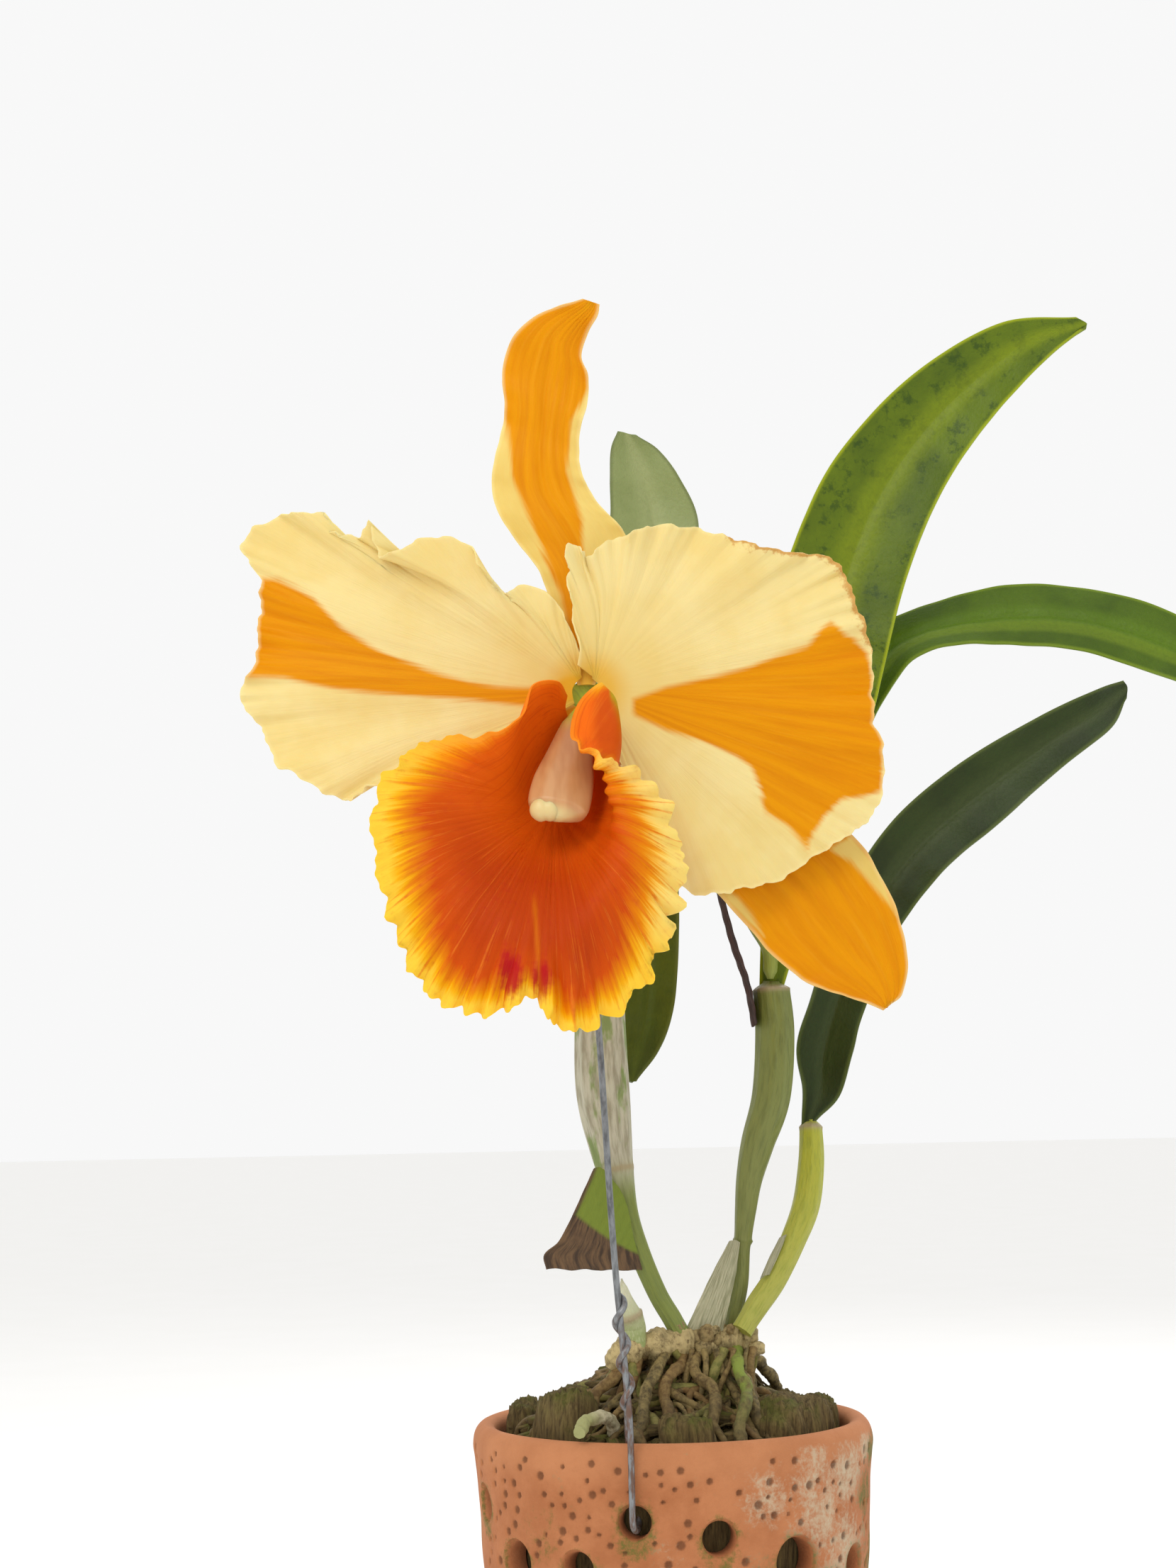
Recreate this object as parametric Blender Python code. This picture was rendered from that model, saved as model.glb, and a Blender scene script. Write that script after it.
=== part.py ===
"""A cattleya orchid in flower, growing in its round terracotta orchid pot.

Run with: blender --background --python part.py

The pot's base stands on the plane z = 0 with its axis on the z axis. +X is to the
viewer's right and -Y is towards the viewer, whom the flower faces. Every size and place
below is in millimetres; millimetres turn into Blender's metres when a mesh is made.
"""

import math
import random

import bmesh
import bpy
import numpy as np

MM = 0.001
# Corners sharper than this, in degrees, stay sharp in the shading
SHARP_ANGLE = 40.0

# Pot
POT_HEIGHT = 95.0
POT_LIP_RADIUS = 51.0
POT_TOP_RADIUS = 50.0
POT_FOOT_RADIUS = 45.0
POT_FOOT_BEVEL = 1.0
# Height where the lip begins to swell, then its face: inset from the lip's radius, drop from its top
POT_LIP_START = 80.0
POT_LIP_PROFILE = [(0.4, 8.0), (0.0, 5.4), (0.6, 2.0), (2.9, 0.0), (5.0, 0.6)]
POT_INNER_BEVEL = 3.0
POT_WALL = 6.0
POT_FLOOR = 6.0
POT_SEGMENTS = 48
DRAIN_HOLES = 3
DRAIN_HOLE_DIAMETER = 9.0
DRAIN_HOLE_REACH = 19.0
# Side holes in view: azimuth in degrees from the front, height and diameter
FRONT_HOLES = [
    (-72.0, 77.0, 9.0),
    (-53.0, 65.0, 10.5),
    (-30.0, 65.5, 8.5),
    (-12.5, 77.0, 8.0),
    (10.8, 73.0, 8.5),
    (34.5, 66.0, 11.5),
]
BACK_HOLE_COUNT = 8
BACK_HOLE_START = 62.0
BACK_HOLE_STEP = 26.0
BACK_HOLE_HEIGHTS = (62.0, 75.0)
BACK_HOLE_DIAMETER = 9.0
HOLE_SIDES = 12

# Clearance between pieces that touch
SEAT_GAP = 0.3

# Growing medium
MOUND_PROFILE = [(37.0, 94.0), (28.0, 99.0), (19.0, 104.5), (9.0, 110.0), (0.5, 112.0)]
MEDIUM_EDGE_HEIGHT = 88.0
CHUNK_SEED = 11
# Rings of chunks: distance from the axis, number and height
CHUNK_RINGS = [(13.0, 4, 105.0), (24.0, 8, 98.5), (33.0, 9, 92.5)]
CHUNK_LENGTH = (11.0, 16.0)
CHUNK_WIDTH = (7.0, 10.0)
CHUNK_JITTER = 0.9
# The two large chunks in view: centre, size, turn in degrees and lean
LEFT_CHUNK = ((-25.0, -2.0, 97.5), (20.0, 16.0, 12.0), 12.0, 0.30)
RIGHT_CHUNK = ((27.5, -8.0, 96.5), (22.0, 17.0, 12.0), -8.0, -0.06)

# Rhizome and roots: points along each, then radius
RHIZOME = [
    (-8, -17, 114.5), (-3, -16, 115), (3, -13.5, 115), (9, -12, 115), (15, -10.5, 115),
    (21, -10.5, 114.5),
]
RHIZOME_RADIUS = 3.8
RHIZOME_KNOB = 0.45
ROOT_RADIUS = 2.1
TAN_ROOTS = [
    [(-1, -15, 114), (-4, -21, 110.5), (-6, -27, 104.5), (-9, -33, 99), (-10, -36, 92)],
    [(3, -13, 113), (1, -21, 108.5), (-3, -27, 104), (-2, -33, 98), (-1, -36, 91)],
    [(8, -12, 113), (6, -20, 109), (9, -26.5, 104), (10, -32, 98.5), (11, -34, 91)],
    [(13, -11, 113), (14, -18, 109.5), (18.5, -24, 104), (21, -28, 98), (22, -29, 91)],
    [(-6, -17, 113), (-12, -19, 110), (-18, -22, 105), (-20, -25, 98), (-20.5, -26, 91)],
    [(5, -13, 113), (4, -6, 109), (-1, 2, 106), (-4, 10, 100), (-5, 13, 93)],
    [(18, -10, 113), (23, -6, 109), (26, 2, 104), (27, 9, 97), (27, 12, 91)],
]
GREEN_ROOT = [(16, -12, 113.5), (17, -20, 109.5), (17, -27, 105), (16.5, -33, 99.5), (16, -35.5, 91)]
GREEN_ROOT_RADIUS = 1.9
PALE_ROOT = [
    (-15, -31, 95), (-17, -34.5, 99.6), (-19.7, -39, 100.2), (-22, -43.3, 98.4), (-23.6, -46.2, 97.9),
]
PALE_ROOT_RADII = [1.9, 2.1, 2.2, 2.2, 1.1]

# Pseudobulbs: axis point, then radius there, from the top down
PSEUDOBULB_A = [
    (29, 0, 206, 4.4), (29, 0, 204, 4.6), (29.5, -0.5, 192, 5.0), (28, -2, 176, 5.0), (24, -3, 164, 4.2),
    (21.5, -4, 155, 3.3), (20.2, -5, 147, 2.7), (19.3, -6, 140.4, 2.3), (19.2, -6, 139.2, 2.9),
    (19, -6.2, 138, 2.1), (18.2, -6.8, 129, 1.9), (16.6, -7.2, 122, 1.8), (16, -7.2, 119.4, 1.8),
]
PSEUDOBULB_B = [
    (38.3, 2, 170, 2.7), (38.3, 2, 168.5, 2.8), (38, 0.6, 159, 3.2), (36, -2.5, 148, 3.5),
    (32, -5.5, 139, 3.4), (27, -8.8, 130, 3.2), (22, -11.9, 123.6, 3.0), (19.6, -13.2, 120.2, 2.7),
]
PSEUDOBULB_C = [
    (-15, -2, 223, 4.6), (-15, -2, 221, 4.8), (-16, -3, 208, 6.2), (-16.3, -5, 195, 6.8),
    (-16.2, -6, 182, 7.0), (-15.6, -6, 174, 6.6), (-14.5, -7, 166, 5.6), (-13.2, -8, 158, 4.5),
    (-11, -9, 147, 3.3), (-7.4, -10, 137, 2.6), (-3.2, -11.2, 127, 2.4), (0, -12.8, 121.4, 2.4),
    (0.8, -13.2, 119.9, 2.4),
]
SHOOT = [
    (-12.3, -20, 131.5, 0.5), (-11.5, -20, 126.5, 1.9), (-10.6, -19.4, 123, 2.8),
    (-10.3, -19.2, 122.2, 3.1), (-9.3, -18.4, 119.5, 2.9), (-9.2, -18.3, 118.2, 2.9),
]

# Leaves: left edge, midrib and right edge, from the base to the tip
LEAF_THICKNESS = 1.3
LEAF_A1 = [
    [
        (26, 1, 206.6), (28, 3, 240), (29, 5, 272), (33, 5, 305), (45, 5, 338), (60, 5, 359),
        (78, 5, 375), (99, 5, 386), (119, 5, 387),
    ],
    [
        (30, 1, 206.6), (35, 4, 238), (42, 7, 268), (49, 8.5, 300), (58, 8.5, 329), (71, 8, 350),
        (87, 7, 366), (104, 6, 378), (122, 5.5, 385),
    ],
    [
        (33, 1, 206.6), (43, 3, 236), (55, 5, 264), (63, 5, 292), (70, 5, 316), (81, 5, 340),
        (94, 5, 358), (108, 5, 373), (120, 5, 383),
    ],
]
LEAF_A2 = [
    [
        (27, 3.4, 206.6), (36, 12, 246), (46, 17, 278), (58, 21, 300), (75, 22, 310), (99, 20, 315),
        (121, 16, 313), (143, 10, 304), (160, 5, 291), (171, 1, 276),
    ],
    [
        (30, 3.4, 206.6), (40, 9.5, 242), (50, 13, 272), (61, 17, 291), (74, 17, 301), (98, 15, 304),
        (120, 11, 302), (142, 6, 292), (158, 3, 281), (171, 0, 274),
    ],
    [
        (32.5, 3.4, 206.6), (44, 7.5, 238), (55, 10, 266), (64, 13, 284), (74, 12, 295), (96, 10, 297),
        (119, 7, 293), (141, 3, 284), (156, 0, 274), (169, -1, 272),
    ],
]
LEAF_B1 = [
    [
        (36, 2, 170.6), (36.6, 4, 178), (35.8, 6, 189), (40, 8, 202), (49, 11, 227), (63, 13, 248),
        (82, 14, 264), (105, 13, 277), (121, 12, 284), (128, 10, 286),
    ],
    [
        (38.6, 2, 170.6), (41.2, 5, 177), (43, 8, 187.5), (47, 10, 200), (56.5, 12.5, 222), (70, 14, 241),
        (88, 14.5, 255), (108, 13.5, 269), (123, 11.5, 278), (129, 10, 284),
    ],
    [
        (41, 2, 170.6), (46.5, 4, 176), (50.5, 6, 187), (54, 8, 198), (64, 10, 219), (77, 11, 235),
        (94, 11, 249), (112, 11, 264), (124, 10, 273), (128.5, 10, 281),
    ],
]
LEAF_C1 = [
    [
        (-18, -3.4, 223.6), (-20, 4, 250), (-19, 18, 285), (-15, 30, 315), (-10.5, 35, 338),
        (-10, 35, 352), (-9.5, 35, 361), (-7.5, 35, 366),
    ],
    [
        (-15, -3.4, 223.6), (-14, 5.5, 250), (-9, 20, 286), (-2, 32, 316), (3, 37, 339), (1, 37, 352),
        (-2, 36, 361), (-5, 35, 365.5),
    ],
    [
        (-12, -3.4, 223.6), (-8, 4, 250), (1, 18, 286), (11, 30, 316), (15, 35, 338), (10, 35, 352),
        (4, 35, 360.5), (-2, 35, 364.5),
    ],
]
LEAF_C2 = [
    [
        (-16.5, 0.2, 223.6), (-14.5, 6, 238), (-12, 12.5, 246), (-9, 17, 242), (-9, 19, 228),
        (-10, 19, 209), (-11, 18, 197), (-11, 17, 188), (-9, 16, 181),
    ],
    [
        (-14, 0.2, 223.6), (-9.5, 7, 240), (-5.5, 13.5, 248), (-2, 18, 244), (-1.5, 20, 228),
        (-2.5, 20, 209), (-4, 19, 197), (-6, 17.5, 188), (-8, 16, 180.5),
    ],
    [
        (-11.8, 0.2, 223.6), (-4.5, 6, 238), (1, 12.5, 246), (5, 17, 241), (6, 19, 227), (5, 19, 209),
        (3, 18, 197), (-1, 17, 188), (-7, 16, 181),
    ],
]

# Dry sheaths and the cut leaf, as long lines side by side
SHEATH_THICKNESS = 0.7
PALE_SHEATH = [
    [(15.5, -9.3, 139.5), (10.5, -11, 131), (5.5, -12.5, 121.5)],
    [(17, -9.3, 139.8), (14, -11.4, 131), (10.5, -13, 120.6)],
    [(18.2, -9.3, 139.2), (16.6, -10.6, 130.5), (14, -11.8, 121)],
]
SPATHE = [
    [(24, 1.5, 195), (22.6, 0.5, 205), (19.5, -2, 216), (16, -6, 229)],
    [(23.7, -2, 194), (21.8, -3, 205), (18.2, -5, 216), (14.8, -8.5, 230)],
    [(24.6, -5.2, 195), (23, -6.5, 205), (19.6, -8.5, 216), (16, -10.5, 229)],
]
SCRAP_ON_B = [
    [(28.3, -9.3, 140), (25.3, -11.3, 135), (22.8, -12.8, 130)],
    [(30.3, -8.7, 141), (27.8, -11, 136), (25, -13, 131)],
]
CUT_LEAF = [
    [
        (-18.6, -17, 158.6), (-21.5, -19, 153), (-25, -21, 146), (-28, -23, 141), (-31.5, -24, 138),
        (-31, -24.5, 134.5),
    ],
    [
        (-17, -17.4, 159), (-18, -18.4, 152.5), (-18.5, -18.6, 146), (-19, -19.4, 140.5),
        (-20.5, -20.4, 137), (-20, -21.5, 134),
    ],
    [
        (-15, -16.6, 157), (-12, -15.5, 153), (-10.2, -14.3, 148), (-9.2, -13.7, 142), (-8, -13.3, 137),
        (-7, -13.5, 133),
    ],
]
CUT_LEAF_THICKNESS = 0.8

# Flower stalk and ovary: axis point and radius, from pseudobulb A to the flower's back
FLOWER_STALK = [
    (28.6, -2.2, 206.5, 1.9), (28.5, -2.3, 214, 1.9), (25, -6, 220, 1.9), (19.5, -13, 228, 1.9),
    (12, -26, 242, 1.9), (1, -42, 256, 2.0), (-8, -56, 263, 2.4), (-14.5, -68, 267, 2.9),
    (-18, -76, 269, 3.4), (-18, -79.4, 269, 4.0),
]

# Flower: lists below are (right, up, towards the viewer), measured from the flower's centre
FLOWER_CENTRE = (-18.0, -85.0, 269.0)
PETAL_THICKNESS = 0.75
DORSAL_SEPAL = [
    [
        (-2, 2.5, -4.3), (-4, 10, -5), (-7.5, 21, -5.5), (-10.5, 30, -6), (-15.5, 37.5, -7),
        (-20, 45, -8), (-21.5, 53, -9), (-19.5, 63, -9), (-18, 71, -8), (-18.5, 79.5, -7),
        (-16, 86.5, -5), (-11, 91, -3), (-5, 93, -1), (1, 94, 1),
    ],
    [
        (2, 2.5, -4.3), (4.5, 9, -5), (8.5, 20.5, -6), (11.5, 31, -6.5), (9.5, 39.5, -6), (3.5, 46.5, -6),
        (0, 54, -6), (-0.5, 62.5, -6), (1.5, 70, -6), (2, 77, -6), (0.5, 82, -5), (2, 86.5, -2),
        (4.5, 90, 0), (5, 92.5, 1),
    ],
]
LEFT_PETAL_CLAW = [(-1.2, 4.2, -3.0), (-3.2, 1.5, -2.8), (-3.0, -2.0, -2.8)]
LEFT_PETAL_MARGIN = [
    (-2.5, 10, -1.5), (-5, 16.5, -0.5), (-9, 24, 0), (-14.5, 25, 1), (-18.5, 26, 2), (-21.5, 29.5, 3),
    (-25, 34.5, 3), (-30, 36.5, 3), (-36, 37, 2), (-43.5, 35, 1), (-49.5, 37, 0), (-55.5, 39, -1),
    (-61, 44, -3), (-71.5, 44, -6), (-80, 38, -8), (-76, 29, -7), (-77, 19.5, -7), (-77.5, 10, -7),
    (-81, 2, -8), (-76, -6, -7), (-72.5, -14.5, -6), (-68, -17, -5), (-59, -22.5, -3), (-52, -20.5, -1),
    (-44, -19.5, 1), (-31, -16.5, 1), (-17.5, -10, 0), (-7, -5, -2),
]
RIGHT_PETAL_CLAW = [(1.6, 4.0, -2.8), (3.2, 1.5, -2.8), (3.2, -1.6, -2.8)]
RIGHT_PETAL_MARGIN = [
    (-0.5, 9, 0), (-3, 17, 1.5), (-4, 27, 2.5), (-2, 33, 3.5), (8, 35.5, 4), (16, 38.5, 3), (26, 38, 2),
    (32.5, 36, 2), (41, 33.5, 1), (49, 32, 0), (57.5, 31, -1), (61, 27, -2), (63, 20.5, -3),
    (66.5, 10.5, -4), (67, 1.5, -5), (66.5, -6, -5), (68.5, -14, -6), (68.5, -22.5, -6),
    (65.5, -29.5, -6), (58, -35, -5), (50.5, -39.5, -4), (43.5, -44, -3), (35, -46, -2), (27, -47.5, -1),
    (21, -45, 0), (14, -34, 2), (8.5, -20, 2), (4.6, -8, -1),
]
RIGHT_SEPAL = [
    [
        (3.2, -2.0, -4.4), (12, -4, -6.5), (24, -8, -8), (41.5, -17, -10), (61, -32.5, -12),
        (68, -43, -13), (72, -52.5, -14), (73.5, -63, -14), (72, -70, -13), (68.5, -73, -12),
    ],
    [
        (0.8, -4.0, -4.4), (5, -11, -6.5), (12, -20, -7.5), (21, -36, -8), (29.5, -46.5, -9),
        (36.5, -54.5, -10), (42.5, -61.5, -11), (51, -68, -11), (60, -71, -11), (67, -74, -12),
    ],
]
LEFT_SEPAL = [
    [
        (-0.8, -4.0, -4.4), (-3, -13, -6.5), (-8, -26, -8), (-15, -38, -9), (-22, -48, -10),
        (-29, -56, -11), (-35.5, -60, -11),
    ],
    [
        (-3.2, -2.0, -4.4), (-12, -6, -7), (-25, -13, -8.5), (-37, -22, -10), (-43, -33, -11),
        (-43.5, -46, -12), (-38.5, -58.5, -11.5),
    ],
]
# Lip: lines across it, from the claw to the outer edge, each from its left to its right margin
LIP = [
    [
        (-4.4, -1.5, 5.5), (-5, -4, 3), (-4, -6.6, 0), (-2, -8.2, -2), (0, -8.6, -2.6), (2, -8.2, -2),
        (4.2, -6.4, 0), (5, -4, 3), (4.4, -1.5, 5.5),
    ],
    [
        (-6.5, 1, 10), (-8.6, -1.5, 9), (-8.6, -7, 4), (-6.5, -12, -1), (-2.5, -14.6, -2.8),
        (2, -13.6, -1.2), (6, -9.5, 4), (6.5, -4, 10), (3, 0, 12),
    ],
    [
        (-12, -0.5, 14), (-13.5, -5.5, 13), (-14, -13, 7), (-10.5, -19.5, 2), (-5.5, -22.5, -1),
        (1, -22.5, 1), (6.5, -17, 6), (6.5, -9.5, 13.5), (-2, -5.5, 17),
    ],
    [
        (-14.5, -8, 18), (-18, -14.5, 16), (-18, -22, 11), (-14.5, -28.5, 7), (-8.5, -32, 5),
        (-1.5, -30.5, 5), (4.5, -25, 8), (5.5, -17.5, 16), (-3.5, -13.5, 21),
    ],
    [
        (-21.5, -12.5, 21), (-25.5, -19.5, 20), (-25, -28.5, 17), (-19, -36, 14), (-10, -40.5, 13),
        (-1.5, -39, 13), (5, -32, 16), (4, -24, 21), (2, -17.5, 22),
    ],
    [
        (-35.5, -14.5, 24), (-34.5, -23, 24), (-31.5, -33, 22), (-22, -42.5, 20), (-11.5, -48.5, 21),
        (-2, -46, 20), (5, -38, 20), (8.5, -29, 21), (10.5, -21, 19),
    ],
    [
        (-46, -24.5, 25), (-41, -32.5, 25), (-34, -41, 25), (-23, -50, 25), (-12.5, -56.5, 27),
        (-3.5, -54, 26), (4.5, -46.5, 24), (11.5, -38.5, 21), (18, -30, 17),
    ],
    [
        (-47, -40.5, 23), (-40, -48, 24), (-32, -55, 25), (-22, -60.5, 27), (-13, -64, 29),
        (-5.5, -62.5, 28), (3, -57.5, 25), (12, -51.5, 21), (20.5, -47.5, 16),
    ],
    [
        (-42, -59, 21), (-36, -69.5, 22), (-28.5, -73.5, 23), (-20.5, -74.5, 25), (-13.5, -71, 26),
        (-8, -77.5, 24), (-2, -78, 23), (4.5, -75, 21), (12.5, -67, 19),
    ],
]
LIP_THICKNESS = 0.75
LIP_MIDDLE = (-13.0, -42.0)
LIP_FRILLS = 15
LIP_FRILL_DEPTH = 1.7
LIP_SCALLOP_DEPTH = 0.9
# Where a petal's middle line lies between claw and margin, and how many samples it is softened over
FAN_MIDDLE = 0.6
FAN_SOFTENING = 5
PETAL_FRILLS = 8.5
PETAL_FRILL_DEPTH = 1.5
# Column: axis point, half width and half depth, from the flower's centre to its tip
COLUMN = [
    (0, -2, 0.8, 2.6, 2.1), (-1.2, -6, 2.8, 3.3, 2.5), (-2.4, -10.5, 5, 4.3, 3.0),
    (-4, -16.5, 8, 5.4, 3.5), (-5.5, -22.5, 12, 6.6, 4.0), (-6.6, -27.5, 15.4, 6.8, 4.0),
    (-7.2, -30, 17.2, 6.0, 3.6), (-7.5, -31.6, 18.2, 3.6, 2.4),
]

# Wire: from its short end inside the wall, through the pot's hole and up to the crook
WIRE_DIAMETER = 1.6
WIRE = [
    (-15.4, -50.2, 129.0), (-15.0, -48.4, 120), (-14.2, -45.4, 108), (-12.9, -42.9, 97),
    (-11.3, -41.4, 88), (-10.2, -41.0, 81), (-9.7, -41.9, 76.8), (-9.9, -44.6, 75.3),
    (-10.6, -48.4, 75.3), (-11.2, -50.9, 77.3), (-11.3, -51.3, 82), (-11.3, -51.4, 92),
    (-11.5, -51.6, 102), (-12.8, -52.6, 120), (-14.4, -53.8, 142), (-16.4, -55.6, 185),
    (-18.4, -57.0, 227), (-19.2, -57.6, 252),
]
CROOK_CENTRE = (-8.8, -57.4, 263.6)
CROOK_RADIUS = 4.7

TERRACOTTA = (0.52, 0.19, 0.08)
HUSK = (0.06, 0.045, 0.028)
ROOT_TAN = (0.20, 0.13, 0.06)
ROOT_PALE = (0.42, 0.38, 0.26)
BULB_OLIVE = (0.16, 0.17, 0.05)
BULB_LIME = (0.28, 0.30, 0.05)
BULB_PAPER = (0.42, 0.39, 0.27)
SHOOT_GREEN = (0.40, 0.45, 0.24)
SHEATH_PAPER = (0.50, 0.46, 0.36)
SPATHE_BROWN = (0.06, 0.03, 0.03)
LEAF_YELLOW_GREEN = (0.12, 0.19, 0.01)
LEAF_DARK = (0.035, 0.06, 0.008)
LEAF_GREY = (0.16, 0.21, 0.10)
STALK_GREEN = (0.25, 0.33, 0.08)
PETAL_CREAM = (0.83, 0.68, 0.30)
SEPAL_ORANGE = (0.87, 0.36, 0.01)
LIP_RED = (0.55, 0.06, 0.01)
COLUMN_BEIGE = (0.60, 0.32, 0.20)
GALVANISED = (0.36, 0.36, 0.34)


def clear_scene():
    """Remove whatever objects the open file holds."""
    for item in list(bpy.data.objects):
        bpy.data.objects.remove(item, do_unlink=True)


def finish(name, colour, roughness=0.6, metallic=0.0):
    """Return a material with one Principled BSDF."""
    material = bpy.data.materials.new(name)
    material.use_nodes = True
    shader = material.node_tree.nodes["Principled BSDF"]
    shader.inputs["Base Color"].default_value = (*colour, 1.0)
    shader.inputs["Roughness"].default_value = roughness
    shader.inputs["Metallic"].default_value = metallic
    return material


def shade_round(mesh):
    """Shade a mesh smooth, with its true corners left sharp."""
    mesh.shade_smooth()
    mesh.set_sharp_from_angle(angle=math.radians(SHARP_ANGLE))


def make_object(name, points, faces, material):
    """Make an object from points in millimetres and faces, with its normals outward."""
    mesh = bpy.data.meshes.new(name)
    mesh.from_pydata([tuple(float(value) * MM for value in point) for point in points], [], faces)
    work = bmesh.new()
    work.from_mesh(mesh)
    bmesh.ops.recalc_face_normals(work, faces=work.faces)
    work.to_mesh(mesh)
    work.free()
    mesh.materials.append(material)
    shade_round(mesh)
    solid = bpy.data.objects.new(name, mesh)
    bpy.context.scene.collection.objects.link(solid)
    return solid


def apply_modifiers(solid):
    """Turn an object's modifiers into plain mesh."""
    depsgraph = bpy.context.evaluated_depsgraph_get()
    mesh = bpy.data.meshes.new_from_object(solid.evaluated_get(depsgraph))
    solid.modifiers.clear()
    solid.data = mesh


def combine(solid, pieces, operation, solver="MANIFOLD"):
    """Join the pieces to a solid, or cut them out of it, in one Boolean, and remove them."""
    group = bpy.data.collections.new(solid.name + "_pieces")
    bpy.context.scene.collection.children.link(group)
    for piece in pieces:
        bpy.context.scene.collection.objects.unlink(piece)
        group.objects.link(piece)
    boolean = solid.modifiers.new(operation.lower(), "BOOLEAN")
    boolean.operation = operation
    boolean.operand_type = "COLLECTION"
    boolean.collection = group
    boolean.solver = solver
    apply_modifiers(solid)
    for piece in pieces:
        bpy.data.objects.remove(piece, do_unlink=True)
    bpy.data.collections.remove(group)


def keep_largest_body(solid):
    """Drop the loose scraps that a cut can leave beside the main body."""
    work = bmesh.new()
    work.from_mesh(solid.data)
    bodies = []
    seen = set()
    for start in work.verts:
        if start in seen:
            continue
        body = {start}
        edge_of_body = [start]
        while edge_of_body:
            corner = edge_of_body.pop()
            for edge in corner.link_edges:
                other = edge.other_vert(corner)
                if other not in body:
                    body.add(other)
                    edge_of_body.append(other)
        seen |= body
        bodies.append(body)
    bodies.sort(key=len)
    for body in bodies[:-1]:
        bmesh.ops.delete(work, geom=list(body), context="VERTS")
    work.to_mesh(solid.data)
    work.free()


def smooth_line(points, count):
    """Return count points, evenly spaced, on a smooth curve through the given points."""
    given = np.array(points, dtype=float)
    ends = np.vstack([2.0 * given[0] - given[1], given, 2.0 * given[-1] - given[-2]])
    fine = []
    for span in range(len(given) - 1):
        before, start, end, after = ends[span:span + 4]
        for step in np.linspace(0.0, 1.0, 16, endpoint=False):
            fine.append(0.5 * (
                2.0 * start
                + (end - before) * step
                + (2.0 * before - 5.0 * start + 4.0 * end - after) * step**2
                + (3.0 * start - before - 3.0 * end + after) * step**3
            ))
    fine.append(given[-1])
    fine = np.array(fine)
    lengths = np.linalg.norm(np.diff(fine[:, :3], axis=0), axis=1)
    travelled = np.concatenate([[0.0], np.cumsum(lengths)])
    wanted = np.linspace(0.0, travelled[-1], count)
    return np.stack([np.interp(wanted, travelled, fine[:, axis]) for axis in range(fine.shape[1])], axis=1)


def sheet(lines, along, across):
    """Return a grid of points on the smooth surface through lines that lie side by side.

    The grid's first index runs across the lines and its second index runs along them.
    """
    sampled = np.array([smooth_line(line, along) for line in lines])
    columns = [smooth_line(sampled[:, index], across) for index in range(along)]
    return np.stack(columns, axis=1)


def soften(line, reach):
    """Return a line with each point replaced by the mean of its neighbours within reach."""
    count = len(line)
    spans = [line[max(0, index - reach):min(count, index + reach + 1)] for index in range(count)]
    return np.array([span.mean(axis=0) for span in spans])


def fan(claw, margin, along, across):
    """Return a grid from a petal's short claw to its outer margin, smooth inside the margin's waves."""
    inner = smooth_line(claw, along)
    outer = smooth_line(margin, along)
    middle = inner * (1.0 - FAN_MIDDLE) + soften(outer, FAN_SOFTENING) * FAN_MIDDLE
    columns = [smooth_line([inner[index], middle[index], outer[index]], across) for index in range(along)]
    return np.stack(columns, axis=1)


def sheet_normals(grid):
    """Return the unit normal at each point of a grid."""
    across = np.gradient(grid, axis=0)
    along = np.gradient(grid, axis=1)
    normals = np.cross(across, along)
    lengths = np.linalg.norm(normals, axis=2, keepdims=True)
    return normals / np.maximum(lengths, 1e-9)


def ripple(grid, height):
    """Push each grid point along its normal by height(share across, share along, point)."""
    rows, columns = grid.shape[:2]
    normals = sheet_normals(grid)
    moved = grid.copy()
    for row in range(rows):
        for column in range(columns):
            push = height(row / (rows - 1), column / (columns - 1), grid[row, column])
            moved[row, column] += normals[row, column] * push
    return moved


def blade(name, grid, thickness, material):
    """Thicken a grid into a closed blade whose two faces are split into like triangles."""
    rows, columns = grid.shape[:2]
    offset = sheet_normals(grid) * thickness / 2.0
    points = np.concatenate([(grid + offset).reshape(-1, 3), (grid - offset).reshape(-1, 3)])
    back = rows * columns

    def corner(row, column):
        return row * columns + column

    faces = []
    for row in range(rows - 1):
        for column in range(columns - 1):
            a, b = corner(row, column), corner(row, column + 1)
            c, d = corner(row + 1, column + 1), corner(row + 1, column)
            faces += [(a, b, c), (a, c, d)]
            faces += [(back + c, back + b, back + a), (back + d, back + c, back + a)]
    rim = [corner(0, column) for column in range(columns)]
    rim += [corner(row, columns - 1) for row in range(1, rows)]
    rim += [corner(rows - 1, column) for column in range(columns - 2, -1, -1)]
    rim += [corner(row, 0) for row in range(rows - 2, 0, -1)]
    for here, there in zip(rim, rim[1:] + rim[:1]):
        faces += [(there, here, back + here), (there, back + here, back + there)]
    return make_object(name, points, faces, material)


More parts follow.
